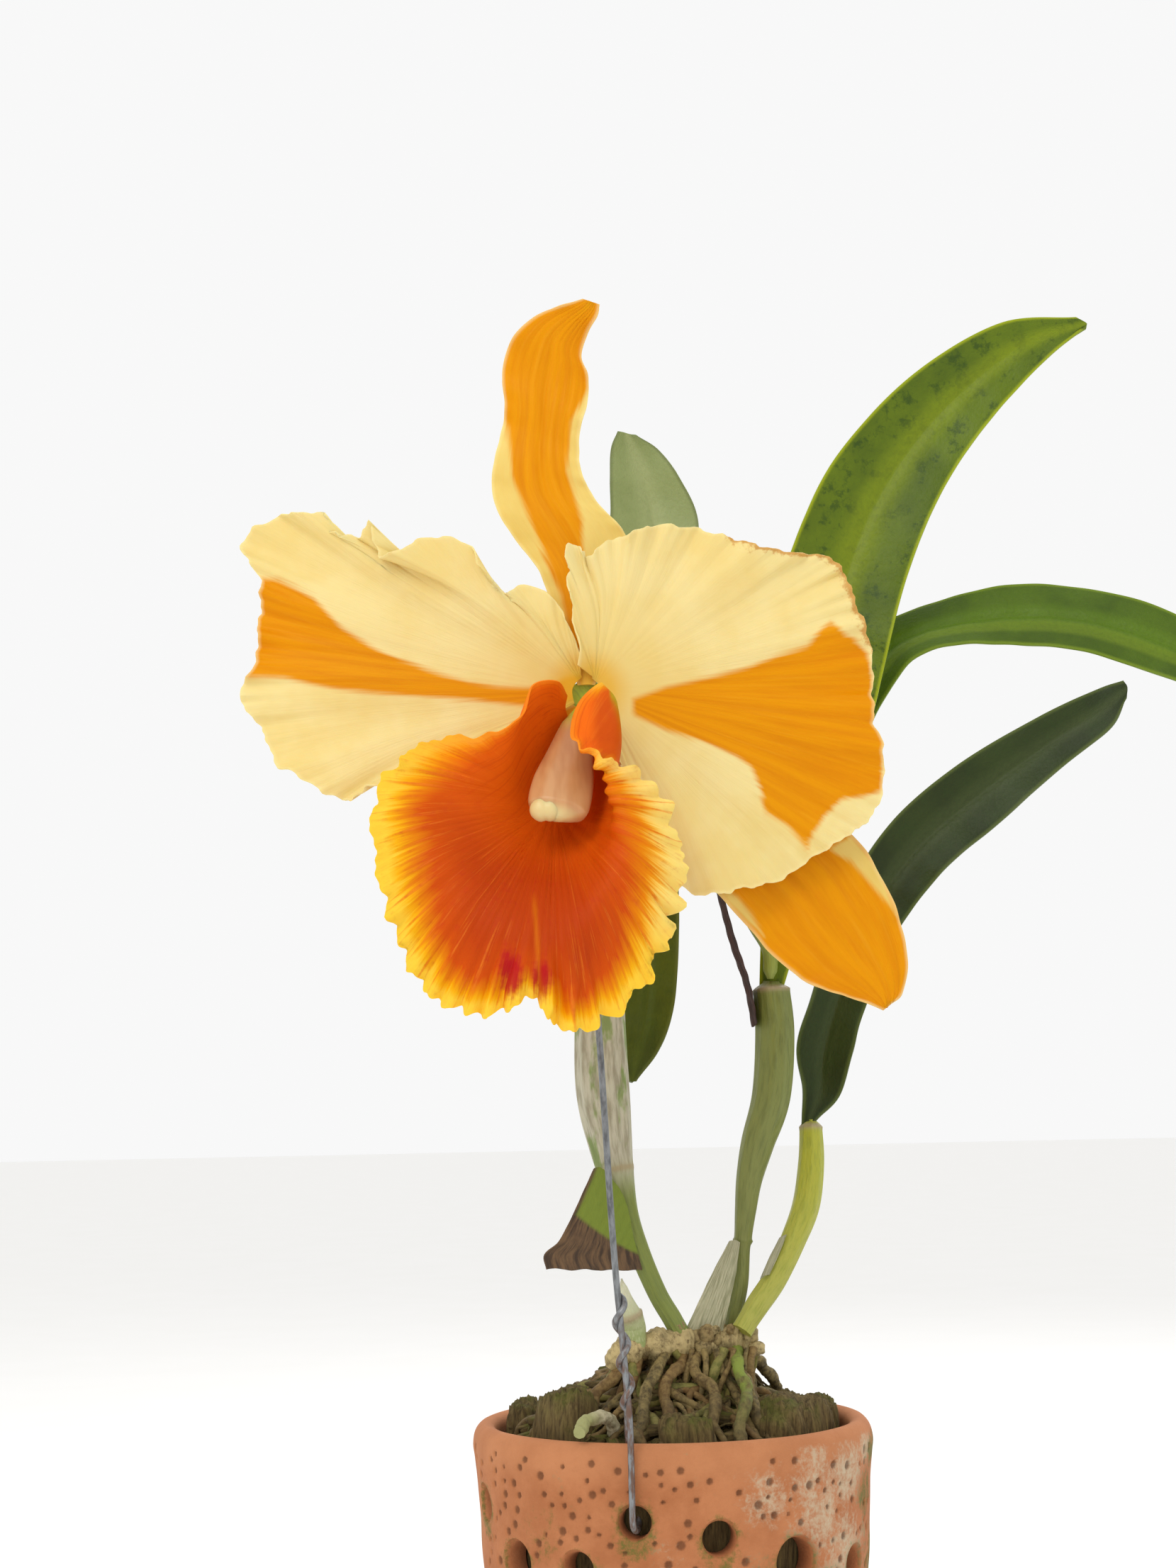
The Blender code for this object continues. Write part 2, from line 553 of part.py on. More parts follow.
def tube(name, path, radii, sides, material, flatten=None):
    """Make a closed tube along a path; flatten gives its half depth where it isn't round."""
    path = np.array(path, dtype=float)
    depths = radii if flatten is None else flatten
    tangents = np.gradient(path, axis=0)
    tangents /= np.linalg.norm(tangents, axis=1, keepdims=True)
    reference = np.array([0.0, 1.0, 0.0]) if abs(tangents[0][1]) < 0.8 else np.array([0.0, 0.0, 1.0])
    sideways = np.cross(reference, tangents[0])
    points = []
    for centre, tangent, wide, deep in zip(path, tangents, radii, depths):
        sideways = sideways - tangent * np.dot(sideways, tangent)
        sideways /= np.linalg.norm(sideways)
        upward = np.cross(tangent, sideways)
        for step in range(sides):
            turn = 2.0 * math.pi * step / sides
            points.append(centre + sideways * wide * math.cos(turn) + upward * deep * math.sin(turn))
    faces = []
    for ring in range(len(path) - 1):
        for step in range(sides):
            after = (step + 1) % sides
            low, high = ring * sides, (ring + 1) * sides
            faces.append((low + step, low + after, high + after, high + step))
    faces.append(tuple(range(sides)))
    faces.append(tuple(range(len(points) - 1, len(points) - sides - 1, -1)))
    return make_object(name, points, faces, material)


def stem(name, stations, rings, sides, material):
    """Make a stem through stations of (x, y, z, radius)."""
    line = smooth_line(stations, rings)
    return tube(name, line[:, :3], line[:, 3], sides, material)


def bloom(points):
    """Turn (right, up, towards the viewer) from the flower's centre into x, y, z."""
    centre = np.array(FLOWER_CENTRE)
    return [tuple(centre + np.array([right, -forward, up])) for right, up, forward in points]


def pot_profile():
    """Return the pot's outline as (radius, height), from the foot over the lip to the floor."""
    inner_top = POT_LIP_RADIUS - POT_WALL
    inner_foot = POT_FOOT_RADIUS - POT_WALL
    middle = (POT_FOOT_RADIUS + POT_TOP_RADIUS) / 2.0
    return [
        (POT_FOOT_RADIUS - POT_FOOT_BEVEL, 0.0),
        (POT_FOOT_RADIUS, POT_FOOT_BEVEL),
        (middle, POT_HEIGHT / 2.0),
        (POT_TOP_RADIUS, POT_LIP_START),
        *((POT_LIP_RADIUS - inset, POT_HEIGHT - drop) for inset, drop in POT_LIP_PROFILE),
        (inner_top, POT_HEIGHT - POT_INNER_BEVEL),
        (inner_foot, POT_FLOOR),
    ]


def inner_radius(height):
    """Return the radius of the pot's inner wall at a height."""
    profile = pot_profile()
    top_radius, top_height = profile[-2]
    foot_radius, foot_height = profile[-1]
    share = (height - foot_height) / (top_height - foot_height)
    return foot_radius + (top_radius - foot_radius) * share


def turned(name, profile, segments, material):
    """Turn a profile of (radius, height) about the z axis into a solid with flat ends."""
    points = []
    faces = []
    for radius, height in profile:
        for step in range(segments):
            turn = 2.0 * math.pi * step / segments
            points.append((radius * math.cos(turn), radius * math.sin(turn), height))
    rings = len(profile)
    for ring in range(rings - 1):
        low, high = ring * segments, (ring + 1) * segments
        for step in range(segments):
            after = (step + 1) % segments
            faces.append((low + step, low + after, high + after, high + step))
    faces.append(tuple(range(segments)))
    faces.append(tuple(range((rings - 1) * segments, rings * segments)))
    return make_object(name, points, faces, material)


def hole_cutter(azimuth, height, diameter, material):
    """Return a round bar that crosses the pot's wall at an azimuth from the front."""
    turn = math.radians(azimuth)
    outward = np.array([math.sin(turn), -math.cos(turn), 0.0])
    start = outward * (POT_FOOT_RADIUS - POT_WALL - 6.0) + np.array([0.0, 0.0, height])
    end = outward * (POT_LIP_RADIUS + 4.0) + np.array([0.0, 0.0, height])
    return tube("hole", [start, end], [diameter / 2.0] * 2, HOLE_SIDES, material)


def make_pot():
    """Make the terracotta pot with its side holes and drain holes."""
    clay = finish("terracotta", TERRACOTTA, roughness=0.85)
    pot = turned("terracotta_pot", pot_profile(), POT_SEGMENTS, clay)
    holes = list(FRONT_HOLES)
    for index in range(BACK_HOLE_COUNT):
        azimuth = BACK_HOLE_START + BACK_HOLE_STEP * index
        holes.append((azimuth, BACK_HOLE_HEIGHTS[index % 2], BACK_HOLE_DIAMETER))
    cutters = [hole_cutter(*hole, clay) for hole in holes]
    for index in range(DRAIN_HOLES):
        turn = 2.0 * math.pi * index / DRAIN_HOLES
        x, y = DRAIN_HOLE_REACH * math.sin(turn), DRAIN_HOLE_REACH * math.cos(turn)
        drain = [(x, y, -2.0), (x, y, POT_FLOOR + 2.0)]
        cutters.append(tube("drain", drain, [DRAIN_HOLE_DIAMETER / 2.0] * 2, HOLE_SIDES, clay))
    combine(pot, cutters, "DIFFERENCE")
    shade_round(pot.data)


def lengthen(line, extra):
    """Return a line with both of its ends carried on by extra."""
    longer = line.copy()
    for end, inner in ((0, 1), (-1, -2)):
        direction = line[end, :3] - line[inner, :3]
        longer[end, :3] += extra * direction / np.linalg.norm(direction)
    return longer


def root_solids(extra):
    """Return the rhizome and its roots as tubes, each thicker and longer by extra."""
    bark = finish("root_bark", ROOT_TAN, roughness=0.8)
    line = smooth_line(RHIZOME, 17)
    radii = np.array([RHIZOME_RADIUS + RHIZOME_KNOB * math.sin(index * 2.1) for index in range(len(line))])
    radii[0] *= 0.7
    radii[-1] *= 0.7
    solids = [tube("rhizome_with_roots", lengthen(line, extra), radii + extra, 10, bark)]
    for index, route in enumerate(TAN_ROOTS):
        line = smooth_line(route, 9)
        radii = np.array([ROOT_RADIUS + 0.2 * math.sin(index + ring * 1.7) for ring in range(len(line))])
        solids.append(tube("tan_root", lengthen(line, extra), radii + extra, 6, bark))
    line = smooth_line(GREEN_ROOT, 9)
    radii = np.full(len(line), GREEN_ROOT_RADIUS + extra)
    solids.append(tube("green_root", lengthen(line, extra), radii, 6, bark))
    return solids


def make_roots():
    """Make the rhizome with its roots as one grown body."""
    solids = root_solids(0.0)
    combine(solids[0], solids[1:], "UNION")
    return solids[0]


def pale_root(extra, name="pale_root"):
    """Make the pale root that leaves the medium and lies over the pot's lip."""
    route = [(*point, radius + extra) for point, radius in zip(PALE_ROOT, PALE_ROOT_RADII)]
    line = lengthen(smooth_line(route, 9), extra)
    return tube(name, line[:, :3], line[:, 3], 8, finish("pale_root", ROOT_PALE, roughness=0.7))


def chunk(centre, size, turn, lean, draw, material):
    """Make one husk chunk: a rough box turned about the vertical and leaning along its length."""
    half = np.array(size) / 2.0
    corners = [np.array([x, y, z]) * half for x in (-1, 1) for y in (-1, 1) for z in (-1, 1)]
    cosine, sine = math.cos(turn), math.sin(turn)
    points = []
    for corner in corners:
        x, y, z = corner + np.array([draw.uniform(-CHUNK_JITTER, CHUNK_JITTER) for axis in range(3)])
        height = centre[2] + z + lean * x
        points.append((centre[0] + cosine * x - sine * y, centre[1] + sine * x + cosine * y, height))
    faces = [(0, 1, 3, 2), (4, 6, 7, 5), (0, 4, 5, 1), (2, 3, 7, 6), (0, 2, 6, 4), (1, 5, 7, 3)]
    return make_object("chunk", points, faces, material)


def make_medium():
    """Make the mound of husk chunks, with plain holes for what grows or stands in it."""
    husk = finish("husk", HUSK, roughness=0.95)
    edge = inner_radius(MEDIUM_EDGE_HEIGHT) - SEAT_GAP
    foot = inner_radius(POT_FLOOR) - SEAT_GAP
    profile = [(foot, POT_FLOOR + SEAT_GAP), (edge, MEDIUM_EDGE_HEIGHT)] + MOUND_PROFILE
    medium = turned("growing_medium", profile, 32, husk)
    draw = random.Random(CHUNK_SEED)
    chunks = []
    for ring_radius, count, height in CHUNK_RINGS:
        for index in range(count):
            around = 2.0 * math.pi * (index + draw.uniform(-0.2, 0.2)) / count
            reach = ring_radius + draw.uniform(-1.5, 1.0)
            centre = (reach * math.sin(around), -reach * math.cos(around), height + draw.uniform(-1.0, 2.0))
            size = (draw.uniform(*CHUNK_LENGTH), draw.uniform(*CHUNK_WIDTH), draw.uniform(*CHUNK_WIDTH))
            lean = draw.uniform(-0.2, 0.2)
            chunks.append(chunk(centre, size, around + draw.uniform(-0.4, 0.4), lean, draw, husk))
    for centre, size, turn, lean in (LEFT_CHUNK, RIGHT_CHUNK):
        chunks.append(chunk(centre, size, math.radians(turn), lean, draw, husk))
    combine(medium, chunks, "UNION")
    cutters = root_solids(SEAT_GAP)
    cutters.append(pale_root(SEAT_GAP, "pale_root_hole"))
    cutters.append(wire_tube("wire_hole", WIRE_DIAMETER / 2.0 + SEAT_GAP))
    combine(medium, cutters, "DIFFERENCE")
    keep_largest_body(medium)
    return medium


def make_pseudobulbs():
    """Make the three pseudobulbs and the young shoot."""
    stem("pseudobulb_a", PSEUDOBULB_A, 24, 10, finish("pseudobulb_olive", BULB_OLIVE, 0.5))
    stem("pseudobulb_b", PSEUDOBULB_B, 14, 10, finish("pseudobulb_lime", BULB_LIME, 0.5))
    stem("pseudobulb_c", PSEUDOBULB_C, 20, 10, finish("pseudobulb_paper", BULB_PAPER, 0.7))
    stem("young_shoot", SHOOT, 11, 10, finish("shoot", SHOOT_GREEN, 0.5))


def make_leaves():
    """Make the five leaves and the cut leaf on the stalk of pseudobulb C."""
    leaves = [
        ("leaf_a1", LEAF_A1, LEAF_YELLOW_GREEN),
        ("leaf_a2", LEAF_A2, LEAF_YELLOW_GREEN),
        ("leaf_b1", LEAF_B1, LEAF_DARK),
        ("leaf_c1", LEAF_C1, LEAF_GREY),
        ("leaf_c2", LEAF_C2, LEAF_DARK),
    ]
    for name, lines, colour in leaves:
        blade(name, sheet(lines, 19, 5), LEAF_THICKNESS, finish(name, colour, 0.4))
    cut = sheet(CUT_LEAF, 11, 5)
    blade("cut_leaf", cut, CUT_LEAF_THICKNESS, finish("cut_leaf", LEAF_YELLOW_GREEN, 0.5))


def make_sheaths():
    """Make the dry sheaths: one by the stalk of A, one at its top, a scrap on B."""
    paper = finish("dry_sheath", SHEATH_PAPER, 0.8)
    blade("pale_sheath", sheet(PALE_SHEATH, 7, 5), SHEATH_THICKNESS, paper)
    blade("sheath_scrap", sheet(SCRAP_ON_B, 6, 3), SHEATH_THICKNESS, paper)
    spathe = sheet(SPATHE, 9, 5)
    blade("spathe", spathe, SHEATH_THICKNESS, finish("spathe", SPATHE_BROWN, 0.7))


def make_sepals():
    """Make the dorsal sepal and the two lateral sepals, each with a shallow midrib fold."""
    orange = finish("sepal", SEPAL_ORANGE, 0.45)

    def fold(across, along, point):
        return 1.2 * math.sin(math.pi * across) * math.sin(math.pi * min(1.0, along + 0.1))

    for name, lines, rows in (
        ("dorsal_sepal", DORSAL_SEPAL, 28),
        ("lateral_sepal_right", RIGHT_SEPAL, 20),
        ("lateral_sepal_left", LEFT_SEPAL, 16),
    ):
        grid = sheet([bloom(line) for line in lines], rows, 5)
        blade(name, ripple(grid, fold), PETAL_THICKNESS, orange)


def make_petals():
    """Make the two broad petals with their frilled margins."""
    cream = finish("petal", PETAL_CREAM, 0.45)

    def frill(across, along, point):
        reach = max(0.0, (across - 0.25) / 0.75) ** 1.6
        ends = min(1.0, 8.0 * along, 8.0 * (1.0 - along))
        return PETAL_FRILL_DEPTH * reach * ends * math.sin(2.0 * math.pi * PETAL_FRILLS * along)

    for name, claw, margin in (
        ("petal_left", LEFT_PETAL_CLAW, LEFT_PETAL_MARGIN),
        ("petal_right", RIGHT_PETAL_CLAW, RIGHT_PETAL_MARGIN),
    ):
        grid = fan(bloom(claw), bloom(margin), 45, 7)
        blade(name, ripple(grid, frill), PETAL_THICKNESS, cream)


def make_lip():
    """Make the lip: rolled over the column near its claw, spread and frilled beyond."""
    grid = sheet([bloom(line) for line in LIP], 31, 18)
    middle = np.array(bloom([(*LIP_MIDDLE, 20.0)])[0])

    def reach(across, along):
        side = abs(2.0 * along - 1.0)
        return max(side, across) ** 4 * min(1.0, max(0.0, (across - 0.3) / 0.3))

    def frill(across, along, point):
        around = math.atan2(point[2] - middle[2], point[0] - middle[0])
        return LIP_FRILL_DEPTH * reach(across, along) * math.sin(LIP_FRILLS * around)

    frilled = ripple(grid, frill)
    rows, columns = grid.shape[:2]
    for row in range(rows):
        for column in range(columns):
            outward = (grid[row, column] - middle) * np.array([1.0, 0.0, 1.0])
            around = math.atan2(outward[2], outward[0])
            push = LIP_SCALLOP_DEPTH * reach(row / (rows - 1), column / (columns - 1))
            frilled[row, column] += push * math.cos(LIP_FRILLS * around) * outward / np.linalg.norm(outward)
    blade("lip", frilled, LIP_THICKNESS, finish("lip", LIP_RED, 0.45))


def make_column():
    """Make the column, a broad club that ends in the anther cap."""
    places = bloom([station[:3] for station in COLUMN])
    stations = [(*place, *station[3:]) for place, station in zip(places, COLUMN)]
    line = smooth_line(stations, 13)
    tube("column", line[:, :3], line[:, 3], 12, finish("column", COLUMN_BEIGE, 0.4), flatten=line[:, 4])


def wire_route():
    """Return the wire's points, with the crook round the flower stalk at its end."""
    route = list(WIRE)
    for degrees in range(200, -31, -23):
        turn = math.radians(degrees)
        x = CROOK_CENTRE[0] + CROOK_RADIUS * math.cos(turn)
        z = CROOK_CENTRE[2] + CROOK_RADIUS * math.sin(turn)
        route.append((x, CROOK_CENTRE[1], z))
    return route


def wire_tube(name, radius):
    """Make a round wire of a radius along the wire's route."""
    line = smooth_line(wire_route(), 66)
    return tube(name, line, [radius] * len(line), 6, finish("galvanised_wire", GALVANISED, 0.4, 1.0))


def main():
    """Build the pot, what grows in it, the flower and the wire."""
    clear_scene()
    make_pot()
    make_medium()
    make_roots()
    pale_root(0.0)
    make_pseudobulbs()
    make_leaves()
    make_sheaths()
    stem("flower_stalk", FLOWER_STALK, 18, 8, finish("flower_stalk", STALK_GREEN, 0.45))
    make_sepals()
    make_petals()
    make_lip()
    make_column()
    wire_tube("wire", WIRE_DIAMETER / 2.0)


main()
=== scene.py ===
"""Looks of a cattleya orchid in flower, growing in its round terracotta orchid pot.

Sizes and places are in millimetres in the pot's own frame: the origin is the centre of the
pot's base, +Z is up, -Y is towards the viewer whom the flower faces and +X is to the
viewer's right. Outlines of the flower are (right, up, towards the viewer) from its centre.
"""
import logging
import math
import random
from dataclasses import dataclass, field
from enum import Enum
from typing import Callable, Sequence

import bmesh
import bpy
import numpy as np
from mathutils import Matrix, Vector


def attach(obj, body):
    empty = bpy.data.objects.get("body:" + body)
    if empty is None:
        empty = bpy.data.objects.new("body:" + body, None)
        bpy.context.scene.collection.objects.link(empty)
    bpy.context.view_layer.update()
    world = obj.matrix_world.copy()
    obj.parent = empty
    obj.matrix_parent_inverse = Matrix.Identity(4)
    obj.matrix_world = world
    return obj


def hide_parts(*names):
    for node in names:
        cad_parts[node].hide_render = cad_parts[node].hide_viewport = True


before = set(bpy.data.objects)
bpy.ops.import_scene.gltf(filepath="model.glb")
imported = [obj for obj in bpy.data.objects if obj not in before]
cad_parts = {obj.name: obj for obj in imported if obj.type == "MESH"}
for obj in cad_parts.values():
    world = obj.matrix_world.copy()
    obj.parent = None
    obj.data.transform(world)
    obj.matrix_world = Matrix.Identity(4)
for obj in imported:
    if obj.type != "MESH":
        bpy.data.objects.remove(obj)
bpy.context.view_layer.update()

MM = 0.001
LOG = logging.getLogger("orchid")
# A Mix node keeps sockets for every kind of value; these are its share and its colours
MIX_SHARE, MIX_FIRST, MIX_SECOND, MIX_RESULT = 0, 6, 7, 2

Point = tuple[float, float, float]
Place = tuple[float, float]
Colour = tuple[float, float, float]
Blotch = tuple[float, float, float, float]
Socket = bpy.types.NodeSocket
Piece = bpy.types.Object
Faces = list[tuple[int, ...]]
Marks = dict[str, np.ndarray]
Shell = tuple[np.ndarray, Faces, Marks]

FLOWER_CENTRE: Point = (-18.0, -85.0, 269.0)

# Lines through each piece. Stems give a radius after each point; leaves and sheaths give their left
# edge, midrib and right edge; the flower's lists are (right, up, towards the viewer) from its centre.
RHIZOME = [
    (-8, -17, 114.5), (-3, -16, 115), (3, -13.5, 115), (9, -12, 115), (15, -10.5, 115), (21, -10.5, 114.5),
]
TAN_ROOTS = [
    [(-1, -15, 114), (-4, -21, 110.5), (-6, -27, 104.5), (-9, -33, 99), (-10, -36, 92)],
    [(3, -13, 113), (1, -21, 108.5), (-3, -27, 104), (-2, -33, 98), (-1, -36, 91)],
    [(8, -12, 113), (6, -20, 109), (9, -26.5, 104), (10, -32, 98.5), (11, -34, 91)],
    [(13, -11, 113), (14, -18, 109.5), (18.5, -24, 104), (21, -28, 98), (22, -29, 91)],
    [(-6, -17, 113), (-12, -19, 110), (-18, -22, 105), (-20, -25, 98), (-20.5, -26, 91)],
    [(5, -13, 113), (4, -6, 109), (-1, 2, 106), (-4, 10, 100), (-5, 13, 93)],
    [(18, -10, 113), (23, -6, 109), (26, 2, 104), (27, 9, 97), (27, 12, 91)],
]
GREEN_ROOT = [
    (16, -12, 113.5), (17, -20, 109.5), (17, -27, 105), (16.5, -33, 99.5), (16, -35.5, 91),
]
PALE_ROOT = [
    (-15, -31, 95), (-17, -34.5, 99.6), (-19.7, -39, 100.2), (-22, -43.3, 98.4), (-23.6, -46.2, 97.9),
]
PSEUDOBULB_A = [
    (29, 0, 206, 4.4), (29, 0, 204, 4.6), (29.5, -0.5, 192, 5), (28, -2, 176, 5), (24, -3, 164, 4.2),
    (21.5, -4, 155, 3.3), (20.2, -5, 147, 2.7), (19.3, -6, 140.4, 2.3), (19.2, -6, 139.2, 2.9),
    (19, -6.2, 138, 2.1), (18.2, -6.8, 129, 2.1), (16.6, -7.2, 122, 2.2), (16, -7.2, 119.4, 2.2),
]
PSEUDOBULB_B = [
    (38.3, 2, 170, 2.7), (38.3, 2, 168.5, 2.8), (38, 0.6, 159, 3.2), (36, -2.5, 148, 3.5),
    (32, -5.5, 139, 3.4), (27, -8.8, 130, 3.2), (22, -11.9, 123.6, 3), (19.6, -13.2, 120.2, 2.7),
]
PSEUDOBULB_C = [
    (-15, -2, 223, 4.6), (-15, -2, 221, 4.8), (-16, -3, 208, 6.2), (-16.3, -5, 195, 6.8),
    (-16.2, -6, 182, 7), (-15.6, -6, 174, 6.6), (-14.5, -7, 166, 5.6), (-13.2, -8, 158, 4.5),
    (-11, -9, 147, 3.3), (-7.4, -10, 137, 2.6), (-3.2, -11.2, 127, 2.4), (0, -12.8, 121.4, 2.4),
    (0.8, -13.2, 119.9, 2.4),
]
SHOOT = [
    (-12.3, -20, 131.5, 0.5), (-11.5, -20, 126.5, 1.9), (-10.6, -19.4, 123, 2.8),
    (-10.3, -19.2, 122.2, 3.1), (-9.3, -18.4, 119.5, 2.9), (-9.2, -18.3, 118.2, 2.9),
]
LEAF_A1 = [
    [(26, 1, 206.6), (28, 3, 240), (29, 5, 272), (33, 5, 305), (45, 5, 338), (60, 5, 359), (78, 5, 375),
     (99, 5, 386), (119, 5, 387)],
    [(30, 1, 206.6), (35, 4, 238), (42, 7, 268), (49, 8.5, 300), (58, 8.5, 329), (71, 8, 350), (87, 7, 366),
     (104, 6, 378), (122, 5.5, 385)],
    [(33, 1, 206.6), (43, 3, 236), (55, 5, 264), (63, 5, 292), (70, 5, 316), (81, 5, 340), (94, 5, 358),
     (108, 5, 373), (120, 5, 383)],
]
LEAF_A2 = [
    [(27, 3.4, 206.6), (36, 12, 246), (46, 17, 278), (58, 21, 300), (75, 22, 310), (99, 20, 315),
     (121, 16, 313), (143, 10, 304), (160, 5, 291), (171, 1, 276)],
    [(30, 3.4, 206.6), (40, 9.5, 242), (50, 13, 272), (61, 17, 291), (74, 17, 301), (98, 15, 304),
     (120, 11, 302), (142, 6, 292), (158, 3, 281), (171, 0, 274)],
    [(32.5, 3.4, 206.6), (44, 7.5, 238), (55, 10, 266), (64, 13, 284), (74, 12, 295), (96, 10, 297),
     (119, 7, 293), (141, 3, 284), (156, 0, 274), (169, -1, 272)],
]
LEAF_B1 = [
    [(36, 2, 170.6), (36.6, 4, 178), (35.8, 6, 189), (40, 8, 202), (49, 11, 227), (63, 13, 248),
     (82, 14, 264), (105, 13, 277), (121, 12, 284), (128, 10, 286)],
    [(38.6, 2, 170.6), (41.2, 5, 177), (43, 8, 187.5), (47, 10, 200), (56.5, 12.5, 222), (70, 14, 241),
     (88, 14.5, 255), (108, 13.5, 269), (123, 11.5, 278), (129, 10, 284)],
    [(41, 2, 170.6), (46.5, 4, 176), (50.5, 6, 187), (54, 8, 198), (64, 10, 219), (77, 11, 235),
     (94, 11, 249), (112, 11, 264), (124, 10, 273), (128.5, 10, 281)],
]
LEAF_C1 = [
    [(-18, -3.4, 223.6), (-20, 4, 250), (-19, 18, 285), (-15, 30, 315), (-10.5, 35, 338), (-10, 35, 352),
     (-9.5, 35, 361), (-7.5, 35, 366)],
    [(-15, -3.4, 223.6), (-14, 5.5, 250), (-9, 20, 286), (-2, 32, 316), (3, 37, 339), (1, 37, 352),
     (-2, 36, 361), (-5, 35, 365.5)],
    [(-12, -3.4, 223.6), (-8, 4, 250), (1, 18, 286), (11, 30, 316), (15, 35, 338), (10, 35, 352),
     (4, 35, 360.5), (-2, 35, 364.5)],
]
LEAF_C2 = [
    [(-16.5, 0.2, 223.6), (-14.5, 6, 238), (-12, 12.5, 246), (-9, 17, 242), (-9, 19, 228), (-10, 19, 209),
     (-11, 18, 197), (-11, 17, 188), (-9, 16, 181)],
    [(-14, 0.2, 223.6), (-9.5, 7, 240), (-5.5, 13.5, 248), (-2, 18, 244), (-1.5, 20, 228), (-2.5, 20, 209),
     (-4, 19, 197), (-6, 17.5, 188), (-8, 16, 180.5)],
    [(-11.8, 0.2, 223.6), (-4.5, 6, 238), (1, 12.5, 246), (5, 17, 241), (6, 19, 227), (5, 19, 209),
     (3, 18, 197), (-1, 17, 188), (-7, 16, 181)],
]
PALE_SHEATH = [
    [(15.5, -9.3, 139.5), (10.5, -11, 131), (5.5, -12.5, 121.5)],
    [(17, -9.3, 139.8), (14, -11.4, 131), (10.5, -13, 120.6)],
    [(18.2, -9.3, 139.2), (16.6, -10.6, 130.5), (14, -11.8, 121)],
]
SPATHE = [
    [(24, 1.5, 195), (22.6, 0.5, 205), (19.5, -2, 216), (16, -6, 229)],
    [(23.7, -2, 194), (21.8, -3, 205), (18.2, -5, 216), (14.8, -8.5, 230)],
    [(24.6, -5.2, 195), (23, -6.5, 205), (19.6, -8.5, 216), (16, -10.5, 229)],
]
SCRAP_ON_B = [
    [(28.3, -9.3, 140), (25.3, -11.3, 135), (22.8, -12.8, 130)],
    [(30.3, -8.7, 141), (27.8, -11, 136), (25, -13, 131)],
]
CUT_LEAF = [
    [(-18.6, -17, 158.6), (-21.5, -19, 153), (-25, -21, 146), (-28, -23, 141), (-31.5, -24, 138),
     (-31, -24.5, 134.5)],
    [(-17, -17.4, 159), (-18, -18.4, 152.5), (-18.5, -18.6, 146), (-19, -19.4, 140.5), (-20.5, -20.4, 137),
     (-20, -21.5, 134)],
    [(-15, -16.6, 157), (-12, -15.5, 153), (-10.2, -14.3, 148), (-9.2, -13.7, 142), (-8, -13.3, 137),
     (-7, -13.5, 133)],
]
FLOWER_STALK = [
    (28.6, -2.2, 206.5, 1.9), (28.5, -2.3, 214, 1.9), (25, -6, 220, 1.9), (19.5, -13, 228, 1.9),
    (12, -26, 242, 1.9), (1, -42, 256, 2), (-8, -56, 263, 2.4), (-14.5, -68, 267, 2.9),
    (-18, -76, 269, 3.4), (-18, -79.4, 269, 4),
]
DORSAL_SEPAL = [
    [(-2, 2.5, -4.3), (-4, 10, -5), (-7.5, 21, -5.5), (-10.5, 30, -6), (-15.5, 37.5, -7), (-20, 45, -8),
     (-21.5, 53, -9), (-19.5, 63, -9), (-18, 71, -8), (-18.5, 79.5, -7), (-16, 86.5, -5), (-11, 91, -3),
     (-5, 93, -1), (1, 94, 1)],
    [(2, 2.5, -4.3), (4.5, 9, -5), (8.5, 20.5, -6), (11.5, 31, -6.5), (9.5, 39.5, -6), (3.5, 46.5, -6),
     (0, 54, -6), (-0.5, 62.5, -6), (1.5, 70, -6), (2, 77, -6), (0.5, 82, -5), (2, 86.5, -2), (4.5, 90, 0),
     (5, 92.5, 1)],
]
LEFT_PETAL_CLAW = [
    (-1.2, 4.2, -3), (-3.2, 1.5, -2.8), (-3, -2, -2.8),
]
LEFT_PETAL_MARGIN = [
    (-1.2, 9, -1.5), (-3.2, 15, -0.8), (-6.2, 21, -0.5), (-10.3, 25, -0.5), (-14.2, 25.9, 0.3),
    (-16.7, 24.8, 0.8), (-18.2, 23.2, 1.2), (-19.9, 24.6, 1.6), (-21.5, 25.5, 1.8), (-22, 28.4, 2),
    (-23.1, 30.8, 2.2), (-26.8, 35.1, 2.6), (-32.6, 36.9, 3), (-38.6, 36.2, 2.6), (-43.6, 34, 1.8),
    (-47.7, 34.6, 1), (-48.9, 37.3, 1), (-49.6, 41.9, 0.6), (-51, 40, 0.2), (-52.5, 37.6, 0),
    (-56.6, 38.2, -0.6), (-59.4, 40.2, -1.4), (-60.4, 44, -2), (-65.2, 44.9, -3.2), (-70.4, 44.9, -4.4),
    (-74.5, 43.4, -5.6), (-78.3, 42.1, -6.8), (-81, 38, -7.8), (-76, 29, -7), (-77, 19.5, -7),
    (-77.5, 10, -7), (-81, 2, -8), (-76, -6, -7), (-72.5, -14.5, -6), (-68, -17, -5), (-59, -22.5, -3),
    (-52, -20.5, -1), (-44, -19.5, 1), (-31, -16.5, 1), (-17.5, -10, 0), (-7, -5, -2),
]
RIGHT_PETAL_CLAW = [
    (1.6, 4, -2.8), (3.2, 1.5, -2.8), (3.2, -1.6, -2.8),
]
